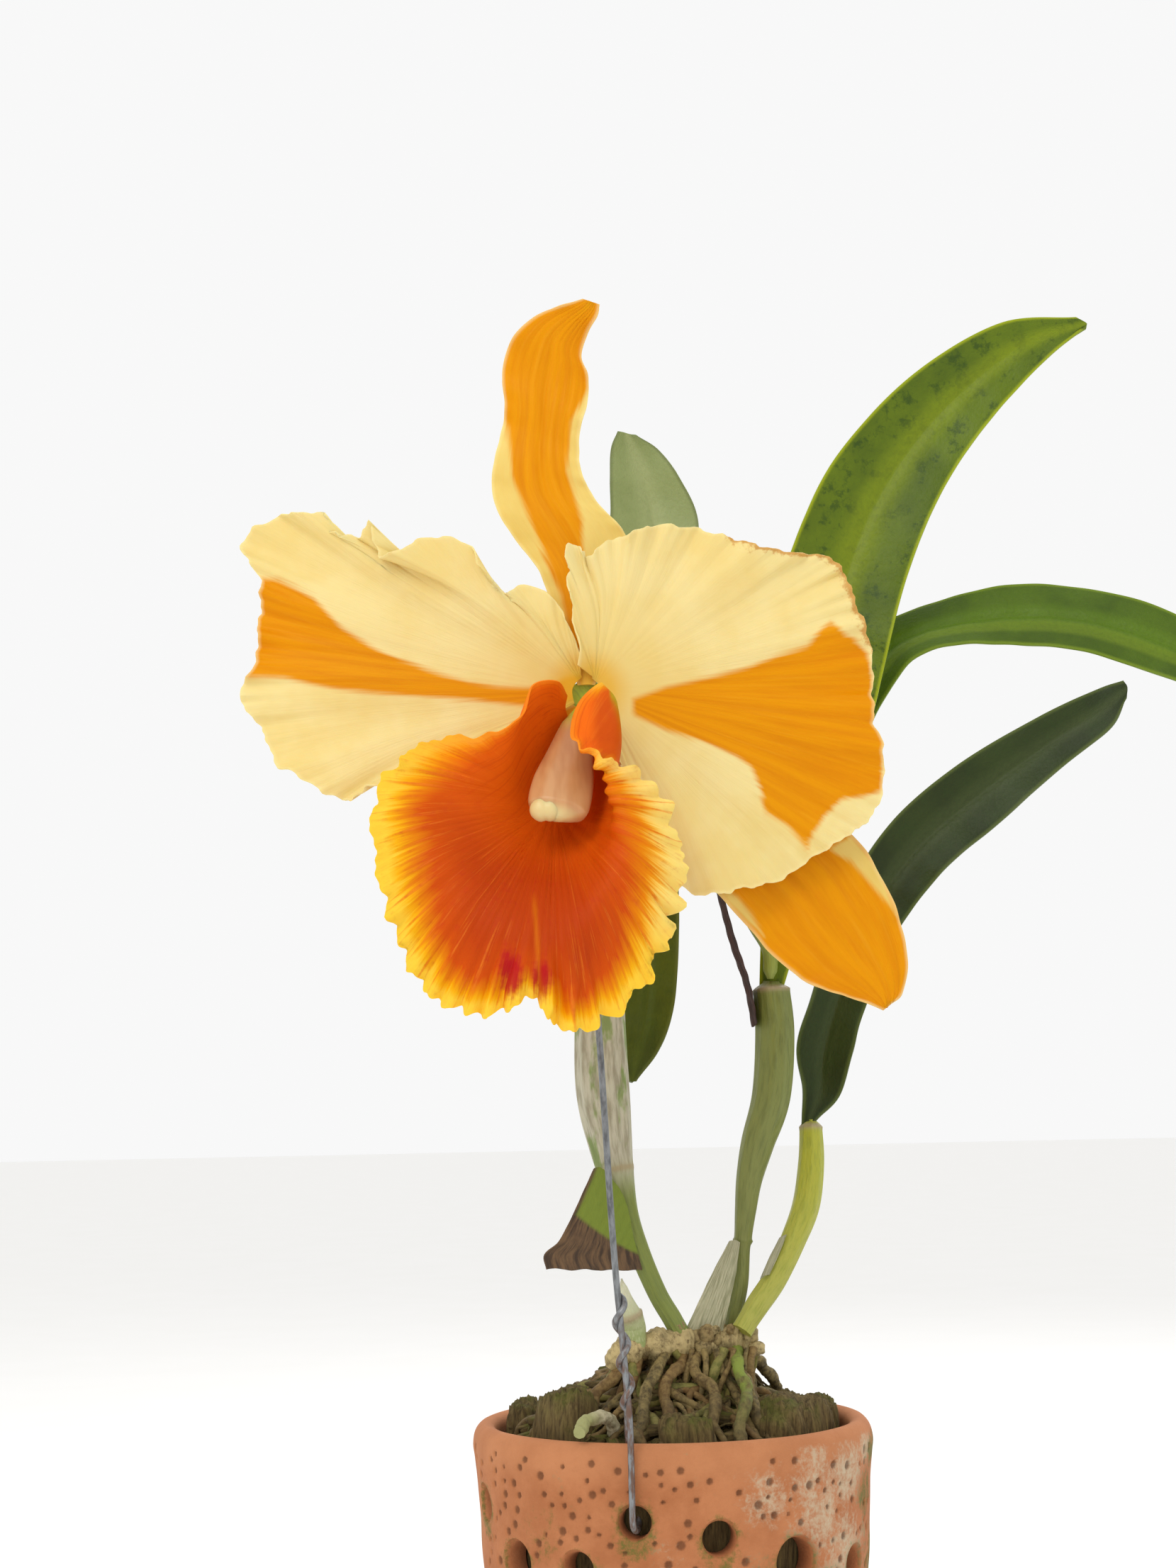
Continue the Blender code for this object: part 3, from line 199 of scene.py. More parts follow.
RIGHT_PETAL_MARGIN = [
    (-1.9, 6.5, 0), (-1.2, 11.4, 0.6), (-2.5, 18.3, 1.2), (-3.6, 22.5, 1.6), (-4.1, 26.7, 2),
    (-3, 29.2, 2.2), (-4.2, 31.5, 2.5), (-3.6, 34.8, 3), (-2.2, 33.4, 3.2), (-1, 30.8, 3.3),
    (1.2, 31.5, 3.4), (4.8, 34.2, 3.6), (11.7, 37, 4), (16, 38.5, 3), (26, 38, 2), (32.5, 36, 2),
    (41, 33.5, 1), (49, 32, 0), (57.5, 31, -1), (61, 27, -2), (63, 20.5, -3), (66.5, 10.5, -4),
    (67, 1.5, -5), (66.5, -6, -5), (68.5, -14, -6), (68.5, -22.5, -6), (65.5, -29.5, -6), (58, -35, -5),
    (50.5, -39.5, -4), (43.5, -44, -3), (35, -46, -2), (27, -47.5, -1), (21, -45, 0), (14, -34, 2),
    (8.5, -20, 2), (4.6, -8, -1),
]
RIGHT_SEPAL = [
    [(3.2, -2, -4.4), (12, -4, -6.5), (24, -8, -8), (41.5, -17, -10), (61, -32.5, -12), (68, -43, -13),
     (72, -52.5, -14), (73.5, -63, -14), (72, -70, -13), (68.5, -73, -12)],
    [(0.8, -4, -4.4), (5, -11, -6.5), (12, -20, -7.5), (21, -36, -8), (29.5, -46.5, -9), (36.5, -54.5, -10),
     (42.5, -61.5, -11), (51, -68, -11), (60, -71, -11), (67, -74, -12)],
]
LEFT_SEPAL = [
    [(-0.8, -4, -4.4), (-3, -13, -6.5), (-8, -26, -8), (-15, -38, -9), (-22, -48, -10), (-29, -56, -11),
     (-35.5, -60, -11)],
    [(-3.2, -2, -4.4), (-12, -6, -7), (-25, -13, -8.5), (-37, -22, -10), (-43, -33, -11), (-43.5, -46, -12),
     (-38.5, -58.5, -11.5)],
]
LIP = [
    [(-4.4, -1.5, 5.5), (-5, -4, 3), (-4, -6.6, 0), (-2, -8.2, -2), (0, -8.6, -2.6), (2, -8.2, -2),
     (4.2, -6.4, 0), (5, -4, 3), (4.4, -1.5, 5.5)],
    [(-6.5, 1, 10), (-8.6, -1.5, 9), (-8.6, -7, 4), (-6.5, -12, -1), (-2.5, -14.6, -2.8), (2, -13.6, -1.2),
     (6, -9.5, 4), (6.5, -4, 10), (3, 0, 12)],
    [(-12, -0.5, 14), (-13.5, -5.5, 13), (-14, -13, 7), (-10.5, -19.5, 2), (-5.5, -22.5, -1), (1, -22.5, 1),
     (6.5, -17, 6), (6.5, -9.5, 13.5), (-2, -5.5, 17)],
    [(-14.5, -8, 18), (-18, -14.5, 16), (-18, -22, 11), (-14.5, -28.5, 7), (-8.5, -32, 5), (-1.5, -30.5, 5),
     (4.5, -25, 8), (5.5, -17.5, 16), (-3.5, -13.5, 21)],
    [(-21.5, -12.5, 21), (-25.5, -19.5, 20), (-25, -28.5, 17), (-19, -36, 14), (-10, -40.5, 13),
     (-1.5, -39, 13), (5, -32, 16), (4, -24, 21), (2, -17.5, 22)],
    [(-35.5, -14.5, 24), (-34.5, -23, 24), (-31.5, -33, 22), (-22, -42.5, 20), (-11.5, -48.5, 21),
     (-2, -46, 20), (5, -38, 20), (8.5, -29, 21), (10.5, -21, 19)],
    [(-46, -24.5, 25), (-41, -32.5, 25), (-34, -41, 25), (-23, -50, 25), (-12.5, -56.5, 27), (-3.5, -54, 26),
     (4.5, -46.5, 24), (11.5, -38.5, 21), (18, -30, 17)],
    [(-47, -40.5, 23), (-40, -48, 24), (-32, -55, 25), (-22, -60.5, 27), (-13, -64, 29), (-5.5, -62.5, 28),
     (3, -57.5, 25), (12, -51.5, 21), (20.5, -47.5, 16)],
    [(-42, -59, 21), (-36, -69.5, 22), (-28.5, -73.5, 23), (-20.5, -74.5, 25), (-13.5, -71, 26),
     (-8, -77.5, 24), (-2, -78, 23), (4.5, -75, 21), (12.5, -67, 19)],
]
COLUMN = [
    (0, -2, 0.8, 2.6, 2.1), (-1.2, -6, 2.8, 3.3, 2.5), (-2.4, -10.5, 5, 4.3, 3), (-4, -16.5, 8, 5.4, 3.5),
    (-5.5, -22.5, 12, 6.6, 4), (-6.6, -27.5, 15.4, 6.8, 4), (-7.2, -30, 17.2, 6, 3.6),
    (-7.5, -31.6, 18.2, 3.6, 2.4),
]
WIRE = [
    (-15.4, -50.2, 129), (-15, -48.4, 120), (-14.2, -45.4, 108), (-12.9, -42.9, 97), (-11.3, -41.4, 88),
    (-10.2, -41, 81), (-9.7, -41.9, 76.8), (-9.9, -44.6, 75.3), (-10.6, -48.4, 75.3), (-11.2, -50.9, 77.3),
    (-11.3, -51.3, 82), (-11.3, -51.4, 92), (-11.5, -51.6, 102), (-12.8, -52.6, 120), (-14.4, -53.8, 142),
    (-16.4, -55.6, 185), (-18.4, -57, 227), (-19.2, -57.6, 252),
]
# The orange of each petal and sepal, and the cream patches of the right lateral sepal
LEFT_WEDGE = [
    (-80, 31), (-72, 29.5), (-63.4, 24.8), (-56.8, 17.6), (-50.3, 13.3), (-43.8, 9.8), (-37.2, 7.1),
    (-27.4, 3.9), (-20.9, 2.6), (-14.3, 2), (-8, 2.4), (-5, 4), (1.3, 5.6), (5, 5.4), (4, 0), (-5, -2),
    (-14.4, -2.5), (-27.5, -0.6), (-37.3, 0.5), (-50.4, 2.1), (-60.2, 3.4), (-70.1, 5.7), (-84, 6.3),
    (-84, 14.7),
]
RIGHT_WEDGE = [
    (10.7, -1.2), (18.5, 1.5), (28.4, 3.4), (38.4, 6), (45, 8.6), (51.7, 10.8), (55.1, 14.6), (57.2, 16.2),
    (60, 13.6), (63.6, 11.4), (66.4, 6.8), (67.6, -3.3), (68.9, -13.2), (68.5, -23.2), (64.4, -24.7),
    (58.6, -25.4), (54.4, -29.4), (51.8, -33.5), (50.1, -37.5), (45.4, -31.7), (40.3, -28.3), (39.5, -22.5),
    (37.7, -17.5), (34.5, -15), (28, -12), (18.3, -8.9), (10.6, -5),
]
DORSAL_BAND = [
    (-19.1, 76.2), (-16.5, 66.8), (-15.4, 54.3), (-10.9, 42), (-6.3, 29.6), (-4.1, 24.3), (-2.9, 17.5),
    (-0.9, 9), (0.3, 9), (-1.6, 17.4), (-1.6, 29.5), (-1.4, 41.8), (-4.7, 54.1), (-3.3, 66.5), (2, 76.8),
    (4.9, 94.9), (-12.9, 95.3), (-19, 83.2),
]
CREAM_TRIANGLE = [(27.5, -42.9), (29.7, -46.6), (39.7, -56.4), (37.1, -51.4), (33.9, -47.2)]
CREAM_STRIP = [(56, -36.6), (60.9, -39.2), (71.1, -51.8), (68.2, -41.8), (61.1, -32.7)]


def tone(code: str) -> Colour:
    """Turn a colour written as six hexadecimal digits into linear light."""
    values = [int(code[start:start + 2], 16) / 255.0 for start in (0, 2, 4)]
    return tuple(v / 12.92 if v <= 0.04045 else ((v + 0.055) / 1.055) ** 2.4 for v in values)


def tones(*codes: str) -> list[Colour]:
    """Turn several colours into linear light."""
    return [tone(code) for code in codes]


def smooth_line(points: Sequence[Sequence[float]], count: int) -> np.ndarray:
    """Sample a smooth curve through points at even steps.

    Args:
        points: the curve's own points; values after the third are carried along.
        count: how many samples to return.

    Returns:
        An array of count rows.
    """
    given = np.array(points, dtype=float)
    ends = np.vstack([2.0 * given[0] - given[1], given, 2.0 * given[-1] - given[-2]])
    steps = np.linspace(0.0, 1.0, 32, endpoint=False)[:, None]
    spans = []
    for span in range(len(given) - 1):
        before, start, end, after = ends[span:span + 4]
        spans.append(0.5 * (
            2.0 * start
            + (end - before) * steps
            + (2.0 * before - 5.0 * start + 4.0 * end - after) * steps**2
            + (3.0 * start - before - 3.0 * end + after) * steps**3
        ))
    fine = np.vstack(spans + [given[-1:]])
    travelled = arc_lengths(fine)
    wanted = np.linspace(0.0, travelled[-1], count)
    return np.stack([np.interp(wanted, travelled, fine[:, axis]) for axis in range(fine.shape[1])], axis=1)


def arc_lengths(line: np.ndarray) -> np.ndarray:
    """Return the distance travelled along a line at each of its points."""
    return np.concatenate([[0.0], np.cumsum(np.linalg.norm(np.diff(line[:, :3], axis=0), axis=1))])


def unit(vectors: np.ndarray) -> np.ndarray:
    """Return vectors, the array's last axis, at a length of 1."""
    return vectors / np.maximum(np.linalg.norm(vectors, axis=-1, keepdims=True), 1e-9)


def between(low: float, high: float, share: np.ndarray) -> np.ndarray:
    """Return the value a share of the way from low to high."""
    return low + (high - low) * share


def turn_between(azimuth: np.ndarray, other: float) -> np.ndarray:
    """Return the shorter turn in radians from one azimuth to another."""
    return (azimuth - other + math.pi) % (2.0 * math.pi) - math.pi


def bloom(points: Sequence[Point]) -> list[Point]:
    """Turn (right, up, towards the viewer) from the flower's centre into x, y, z."""
    x, y, z = FLOWER_CENTRE
    return [(x + right, y - forward, z + up) for right, up, forward in points]


def seen(points: np.ndarray) -> np.ndarray:
    """Return points as (right, up) from the flower's centre, as the viewer sees them."""
    return (points - np.array(FLOWER_CENTRE))[..., [0, 2]]


def rise(share: np.ndarray, low: float, high: float) -> np.ndarray:
    """Climb smoothly from 0 at low to 1 at high."""
    scaled = np.clip((share - low) / (high - low), 0.0, 1.0)
    return scaled * scaled * (3.0 - 2.0 * scaled)


def hum(position: np.ndarray, length: float, seed: float) -> np.ndarray:
    """Return an uneven wave of about the given length, between -1 and 1, with no random draw."""
    drift = 0.9 * np.sin(position / (2.3 * length) + seed)
    drift = drift + 0.6 * np.sin(position / (3.9 * length) + 2.0 * seed)
    swell = 0.72 + 0.28 * np.sin(position / (1.7 * length) + 3.0 * seed)
    return swell * np.sin(2.0 * math.pi * position / length + drift * 2.0 + seed)


def blurred(values: np.ndarray, passes: int) -> np.ndarray:
    """Return a grid of values with each eased towards its neighbours, a number of times."""
    for _ in range(passes):
        padded = np.pad(values, 1, mode="edge")
        sides = padded[:-2, 1:-1] + padded[2:, 1:-1] + padded[1:-1, :-2] + padded[1:-1, 2:]
        values = (sides + 4.0 * values) / 8.0
    return values


def signed_distance(places: np.ndarray, outline: Sequence[Place]) -> np.ndarray:
    """Measure how far places lie inside a closed outline.

    Args:
        places: an array whose last axis holds (right, up).
        outline: the corners of the closed outline.

    Returns:
        The distance to the outline, positive inside it and negative outside.
    """
    corners = np.array(outline, dtype=float)
    flat = places.reshape(-1, 2)
    nearest = np.full(len(flat), 1e9)
    inside = np.zeros(len(flat), dtype=bool)
    for start, end in zip(corners, np.roll(corners, -1, axis=0)):
        along = end - start
        share = np.clip(((flat - start) @ along) / max(along @ along, 1e-9), 0.0, 1.0)
        nearest = np.minimum(nearest, np.linalg.norm(flat - (start + share[:, None] * along), axis=1))
        crosses = (start[1] > flat[:, 1]) != (end[1] > flat[:, 1])
        with np.errstate(divide="ignore", invalid="ignore"):
            at = start[0] + (flat[:, 1] - start[1]) * along[0] / along[1]
        inside ^= crosses & (flat[:, 0] < at)
    return np.where(inside, nearest, -nearest).reshape(places.shape[:-1])


class Board:
    """A material's node tree, with a short call for each kind of node that the finishes use."""

    def __init__(self, name: str) -> None:
        """Start a material with its Principled shader."""
        self.material = bpy.data.materials.new(name)
        self.material.use_nodes = True
        self.tree = self.material.node_tree
        self.shader = self.tree.nodes["Principled BSDF"]

    def add(self, kind: str, **settings: object) -> bpy.types.Node:
        """Add a node of a kind with the given settings."""
        node = self.tree.nodes.new(kind)
        for name, value in settings.items():
            setattr(node, name, value)
        return node

    def feed(self, socket: Socket, value: object) -> None:
        """Link a socket into another one, or set it to a plain value."""
        if isinstance(value, bpy.types.NodeSocket):
            self.tree.links.new(value, socket)
        elif isinstance(value, tuple) and len(value) == 3 and socket.type == "RGBA":
            socket.default_value = (*value, 1.0)
        else:
            socket.default_value = value

    def mark(self, name: str) -> Socket:
        """Read a number that the mesh keeps at its points."""
        return self.add("ShaderNodeAttribute", attribute_name=name).outputs["Fac"]

    def place(self) -> Socket:
        """Return the point's place in millimetres."""
        coordinates = self.add("ShaderNodeTexCoord").outputs["Object"]
        scale = self.add("ShaderNodeVectorMath", operation="SCALE")
        self.feed(scale.inputs[0], coordinates)
        scale.inputs["Scale"].default_value = 1.0 / MM
        return scale.outputs[0]

    def squeeze(self, vector: Socket, factors: Point) -> Socket:
        """Multiply a vector by factors, one for each axis."""
        node = self.add("ShaderNodeVectorMath", operation="MULTIPLY")
        self.feed(node.inputs[0], vector)
        node.inputs[1].default_value = factors
        return node.outputs[0]

    def join(self, x: object, y: object, z: object = 0.0) -> Socket:
        """Join three numbers into a vector."""
        node = self.add("ShaderNodeCombineXYZ")
        for socket, value in zip(node.inputs, (x, y, z)):
            self.feed(socket, value)
        return node.outputs[0]

    def noise(self, vector: Socket, size: float, detail: float = 4.0, roughness: float = 0.55) -> Socket:
        """Return noise between 0 and 1 whose blotches are about size millimetres across."""
        node = self.add("ShaderNodeTexNoise")
        self.feed(node.inputs["Vector"], vector)
        node.inputs["Scale"].default_value = 1.0 / size
        node.inputs["Detail"].default_value = detail
        node.inputs["Roughness"].default_value = roughness
        return node.outputs["Fac"]

    def math(self, operation: str, first: object, second: object = 0.0) -> Socket:
        """Work on one or two numbers with one of the Math node's operations."""
        node = self.add("ShaderNodeMath", operation=operation)
        self.feed(node.inputs[0], first)
        self.feed(node.inputs[1], second)
        return node.outputs[0]

    def times(self, first: object, second: object) -> Socket:
        """Multiply two numbers."""
        return self.math("MULTIPLY", first, second)

    def plus(self, first: object, second: object) -> Socket:
        """Add two numbers."""
        return self.math("ADD", first, second)

    def swing(self, noise: Socket, depth: float) -> Socket:
        """Turn noise between 0 and 1 into a swing about 0 of the given depth."""
        return self.times(self.math("SUBTRACT", noise, 0.5), depth)

    def span(self, value: Socket, low: float, high: float) -> Socket:
        """Climb smoothly from 0 where the value is low to 1 where it is high."""
        node = self.add("ShaderNodeMapRange", interpolation_type="SMOOTHSTEP")
        self.feed(node.inputs["Value"], value)
        node.inputs["From Min"].default_value = low
        node.inputs["From Max"].default_value = high
        return node.outputs["Result"]

    def mix(self, share: object, first: object, second: object) -> Socket:
        """Mix two colours."""
        node = self.add("ShaderNodeMix", data_type="RGBA")
        self.feed(node.inputs[MIX_SHARE], share)
        self.feed(node.inputs[MIX_FIRST], first)
        self.feed(node.inputs[MIX_SECOND], second)
        return node.outputs[MIX_RESULT]

    def over(self, under: object, colour: object, share: Socket, strength: object) -> Socket:
        """Lay a colour over another one where share is high, at the given strength."""
        return self.mix(self.times(share, strength), under, colour)

    def ramp(self, value: Socket, stops: Sequence[tuple[float, Colour]]) -> Socket:
        """Turn a number into a colour through stops of (position, colour)."""
        node = self.add("ShaderNodeValToRGB")
        elements = node.color_ramp.elements
        elements[0].position, elements[0].color = stops[0][0], (*stops[0][1], 1.0)
        elements[1].position, elements[1].color = stops[-1][0], (*stops[-1][1], 1.0)
        for position, colour in stops[1:-1]:
            elements.new(position).color = (*colour, 1.0)
        self.feed(node.inputs["Fac"], value)
        return node.outputs["Color"]

    def finish(
        self, colour: object, roughness: object, relief: Socket | None = None, depth: float = 0.2
    ) -> None:
        """Set the shader's colour, its roughness and, if given, its relief in millimetres."""
        self.feed(self.shader.inputs["Base Color"], colour)
        self.feed(self.shader.inputs["Roughness"], roughness)
        if relief is not None:
            bump = self.add("ShaderNodeBump")
            bump.inputs["Strength"].default_value = 1.0
            bump.inputs["Distance"].default_value = depth * MM
            self.feed(bump.inputs["Height"], relief)
            self.feed(self.shader.inputs["Normal"], bump.outputs["Normal"])

    def tune(self, name: str, value: object) -> None:
        """Set one of the shader's own sockets."""
        self.shader.inputs[name].default_value = value

    def glow(self, weight: float, colour: Colour, reach: float) -> None:
        """Let light through thin tissue: weight, its spread in each colour, and reach in millimetres."""
        self.tune("Subsurface Weight", weight)
        self.tune("Subsurface Radius", colour)
        self.tune("Subsurface Scale", reach * MM)


class Patch(Enum):
    """Where a sepal keeps its orange: inside its outlines, or all over but there."""

    BAND = "band"
    ALL_BUT = "all but the patches"


@dataclass(frozen=True)
class TissueFinish:
    """The satin skin of a petal or sepal: cream, with an orange field whose edge is feathered."""

    name: str
    cream: Colour = tone("e8d594")
    cream_deep: Colour = tone("dec16c")
    orange: Colour = tone("de9200")
    orange_deep: Colour = tone("d48400")
    sheen_orange: Colour = tone("e8aa2c")
    claw: Colour = tone("deaa2e")
    rim: Colour = tone("f0dea0")
    dried: float = 0.0

    def material(self) -> bpy.types.Material:
        """Return the material, which reads field, around, reach, rim and dry from the mesh."""
        board = Board(self.name)
        place = board.place()
        around = board.mark("around")
        reach = board.mark("reach")
        away = board.span(reach, 6.0, 30.0)
        veins = board.noise(board.join(around, board.times(reach, 0.045)), 1.15, 3.0, 0.6)
        streaks = board.noise(board.join(around, board.times(reach, 0.09)), 3.4, 3.0, 0.6)
        clouds = board.noise(place, 18.0, 3.0)
        cream = board.over(self.cream, self.cream_deep, board.span(clouds, 0.35, 0.68), 0.5)
        cream = board.over(cream, self.cream_deep, board.span(reach, 30.0, 3.0), 0.6)
        ribs = board.times(board.span(veins, 0.5, 0.75), board.times(away, 0.12))
        cream = board.mix(ribs, cream, self.cream_deep)
        orange = board.mix(board.span(streaks, 0.35, 0.7), self.orange, self.orange_deep)
        glints = board.times(board.span(veins, 0.5, 0.75), board.times(away, 0.16))
        orange = board.mix(glints, orange, self.sheen_orange)
        shift = board.swing(streaks, 2.6)
        shift = board.plus(shift, board.swing(veins, 1.6))
        shift = board.times(shift, away)
        field_edge = board.span(board.plus(board.mark("field"), shift), -0.9, 1.0)
        colour = board.mix(field_edge, cream, orange)
        claw = board.times(board.span(reach, 8.5, 1.5), 0.8)
        colour = board.mix(claw, colour, self.claw)
        rim = board.span(board.mark("rim"), 1.1, 0.1)
        colour = board.over(colour, self.rim, rim, 0.45)
        if self.dried > 0.0:
            spots = board.noise(place, 1.6, 3.0, 0.7)
            dry = board.plus(board.mark("dry"), board.swing(spots, 1.6))
            dry = board.times(board.span(dry, 0.35, 0.8), self.dried)
            colour = board.mix(dry, colour, tone("c08a3c"))
        fine = board.noise(board.join(around, board.times(reach, 0.12)), 0.7, 2.0)
        relief = board.times(board.plus(veins, board.times(fine, 0.5)), away)
        board.finish(colour, 0.5, relief, 0.12)
        board.glow(0.2, (1.0, 0.6, 0.25), 1.2)
        board.tune("Specular IOR Level", 0.08)
        return board.material


@dataclass(frozen=True)
class LipFinish:
    """The velvety lip: red-orange in its heart, yellow on its pleated margin, crimson at the tip."""

    heart: Colour = tone("b63c00")
    red: Colour = tone("c84c00")
    amber: Colour = tone("dc8000")
    # throat_painted_light: painted light that lightens the rolled throat where it lies in shade
    throat_painted_light: Colour = tone("f46e0c")
    thread: Colour = tone("ec8a24")
    vein: Colour = tone("c84408")
    gold: Colour = tone("ecaa06")
    yellow: Colour = tone("f4c638")
    cream: Colour = tone("f0d880")
    crimson: Colour = tone("b0061a")
    throat: Colour = tone("a8a820")

    def material(self) -> bpy.types.Material:
        """Return the material, which reads every mark of the lip from the mesh."""
        board = Board("lip_velvet")
        place = board.place()
        fan = board.mark("fan")
        reach = board.mark("reach")
        edge = board.mark("edge")
        veins = board.noise(board.join(fan, board.times(reach, 0.05)), 0.95, 3.0, 0.65)
        broad = board.noise(board.join(fan, board.times(reach, 0.08)), 3.6, 3.0, 0.6)
        shift = board.swing(broad, 1.1)
        shift = board.plus(shift, board.swing(veins, 1.5))
        shift = board.times(shift, board.span(edge, 0.0, 0.8))
        feathered = board.plus(edge, shift)
        stops = [
            (0.0, self.yellow), (0.12, self.yellow), (0.22, self.gold), (0.34, self.amber), (0.52, self.red),
            (0.9, self.heart),
        ]
        colour = board.ramp(board.times(feathered, 0.3), stops)
        pale = board.times(board.mark("side"), board.span(feathered, 1.1, 0.3))
        colour = board.over(colour, self.cream, pale, 0.75)
        threads = board.times(board.span(veins, 0.56, 0.67), board.span(edge, 6.0, 0.8))
        colour = board.over(colour, self.thread, threads, 0.55)
        dark = board.times(board.span(veins, 0.46, 0.32), board.span(edge, 0.9, 1.8))
        colour = board.over(colour, self.heart, dark, 0.35)
        mottle = board.plus(board.noise(place, 2.2, 3.0, 0.6), board.times(veins, 1.2))
        blush = board.span(board.plus(board.mark("blush"), board.math("SUBTRACT", mottle, 1.1)), 0.0, 0.85)
        colour = board.over(colour, self.crimson, blush, 0.9)
        colour = board.over(colour, self.amber, board.mark("line"), 0.4)
        # Painted light: the throat lightened where the rolled lobes and the column shade it; the veins below
        # keep to the same place
        colour = board.over(colour, self.throat_painted_light, board.mark("deep"), 0.85)
        strands = board.noise(board.join(board.mark("strand"), board.times(reach, 0.2)), 0.9, 3.0, 0.65)
        strands = board.times(board.span(strands, 0.52, 0.66), board.mark("deep"))
        colour = board.over(colour, self.vein, strands, 0.45)
        colour = board.over(colour, self.throat, board.mark("throat"), 0.8)
        relief = board.plus(veins, board.times(board.noise(place, 0.8, 2.0), 0.3))
        board.finish(colour, 0.55, relief, 0.14)
        board.glow(0.2, (1.0, 0.45, 0.15), 1.4)
        board.tune("Specular IOR Level", 0.1)
        return board.material


@dataclass(frozen=True)
class ColumnFinish:
    """The waxy column: pinkish beige, streaked along its length and pale at the cap."""

    light: Colour = tone("cc9864")
    deep: Colour = tone("b67a46")
    cap: Colour = tone("dcc486")
    green: float = 0.95

    def material(self) -> bpy.types.Material:
        """Return the material, which reads along and cap from the mesh."""
        board = Board("column_wax")
        place = board.place()
        streaks = board.noise(board.squeeze(place, (1.0, 0.4, 0.14)), 2.6, 2.0, 0.5)
        colour = board.over(self.light, self.deep, board.span(streaks, 0.35, 0.7), 0.6)
        root = board.span(board.mark("along"), 0.34, 0.05)
        colour = board.over(colour, tone("9cc010"), root, self.green)
        colour = board.mix(board.mark("cap"), colour, self.cap)
        board.finish(colour, 0.38, streaks, 0.15)
        board.glow(0.25, (1.0, 0.5, 0.3), 1.5)
        return board.material


@dataclass(frozen=True)
class LeafFinish:
    """A leaf's waxy skin: its face, its midrib, its edge and its mottling."""

    name: str
    face: Colour
    shade: Colour
    midrib: Colour
    edge: Colour
    back: Colour
    mottle: float = 0.0
    band: float = 0.0
    dull: float = 0.36
    midrib_share: float = 0.55

    def material(self) -> bpy.types.Material:
        """Return the material, which reads across, along, rim and back from the mesh."""
        board = Board(self.name)
        place = board.place()
        across = board.mark("across")
        along = board.mark("along")
        grain = board.noise(board.join(board.times(across, 16.0), along), 1.4, 3.0, 0.6)
        clouds = board.noise(place, 20.0, 4.0, 0.6)
        colour = board.mix(board.span(clouds, 0.35, 0.68), self.face, self.shade)
        if self.mottle > 0.0:
            blotch = board.noise(place, 4.6, 5.0, 0.72)
            specks = board.noise(place, 1.7, 4.0, 0.7)
            spots = board.plus(board.times(blotch, 0.7), board.times(specks, 0.3))
            colour = board.over(colour, tone("26400c"), board.span(spots, 0.5, 0.62), self.mottle)
        centre = board.span(board.math("ABSOLUTE", across, 0.0), 0.5, 0.05)
        colour = board.over(colour, self.midrib, centre, self.midrib_share)
        if self.band > 0.0:
            strip = board.times(board.span(across, 0.1, 0.25), board.span(across, 0.62, 0.45))
            colour = board.over(colour, self.edge, strip, self.band)
        colour = board.over(colour, self.shade, board.span(grain, 0.4, 0.7), 0.22)
        rim = board.span(board.mark("rim"), 1.2, 0.2)
        colour = board.over(colour, self.edge, rim, 0.8)
        colour = board.over(colour, self.back, board.mark("back"), 0.6)
        relief = board.plus(grain, board.times(clouds, 0.6))
        roughness = board.plus(board.times(clouds, 0.12), self.dull)
        board.finish(colour, roughness, relief, 0.22)
        board.tune("Specular IOR Level", 0.2)
        board.tune("Coat Weight", 0.06)
        board.tune("Coat Roughness", 0.3)
        board.glow(0.08, (0.4, 1.0, 0.2), 1.0)
        return board.material


@dataclass(frozen=True)
class StemFinish:
    """A ribbed stem's skin: a colour at its top and its foot, fibres, and a dry papery skin."""

    name: str
    top: Colour
    foot: Colour
    fibre: Colour
    paper: Colour = tone("b9b39c")
    paper_deep: Colour = tone("8d8672")
    paper_share: float = 0.0
    paper_end: float = 0.6
    change: tuple[float, float] = (0.0, 1.0)
    dull: float = 0.45

    def material(self) -> bpy.types.Material:
        """Return the material, which reads along, turn and ring from the mesh."""
        board = Board(self.name)
        place = board.place()
        along = board.mark("along")
        turn = board.mark("turn")
        fibres = board.noise(board.join(board.times(turn, 2.6), board.times(along, 7.0)), 0.5)
        clouds = board.noise(board.squeeze(place, (1.0, 1.0, 0.35)), 5.0, 4.0, 0.6)
        colour = board.mix(board.span(along, *self.change), self.top, self.foot)
        colour = board.over(colour, self.fibre, board.span(fibres, 0.45, 0.7), 0.55)
        colour = board.over(colour, self.fibre, board.span(clouds, 0.5, 0.72), 0.35)
        if self.paper_share > 0.0:
            worn = board.span(clouds, 0.64, 0.52)
            skin = board.times(worn, board.span(along, self.paper_end + 0.06, self.paper_end - 0.06))
            dry = board.mix(board.span(fibres, 0.35, 0.7), self.paper, self.paper_deep)
            colour = board.over(colour, dry, skin, self.paper_share)
        colour = board.mix(board.mark("ring"), colour, tone("a59672"))
        board.finish(colour, self.dull, board.plus(fibres, board.times(clouds, 0.5)), 0.35)
        board.glow(0.06, (0.4, 1.0, 0.2), 1.0)
        return board.material


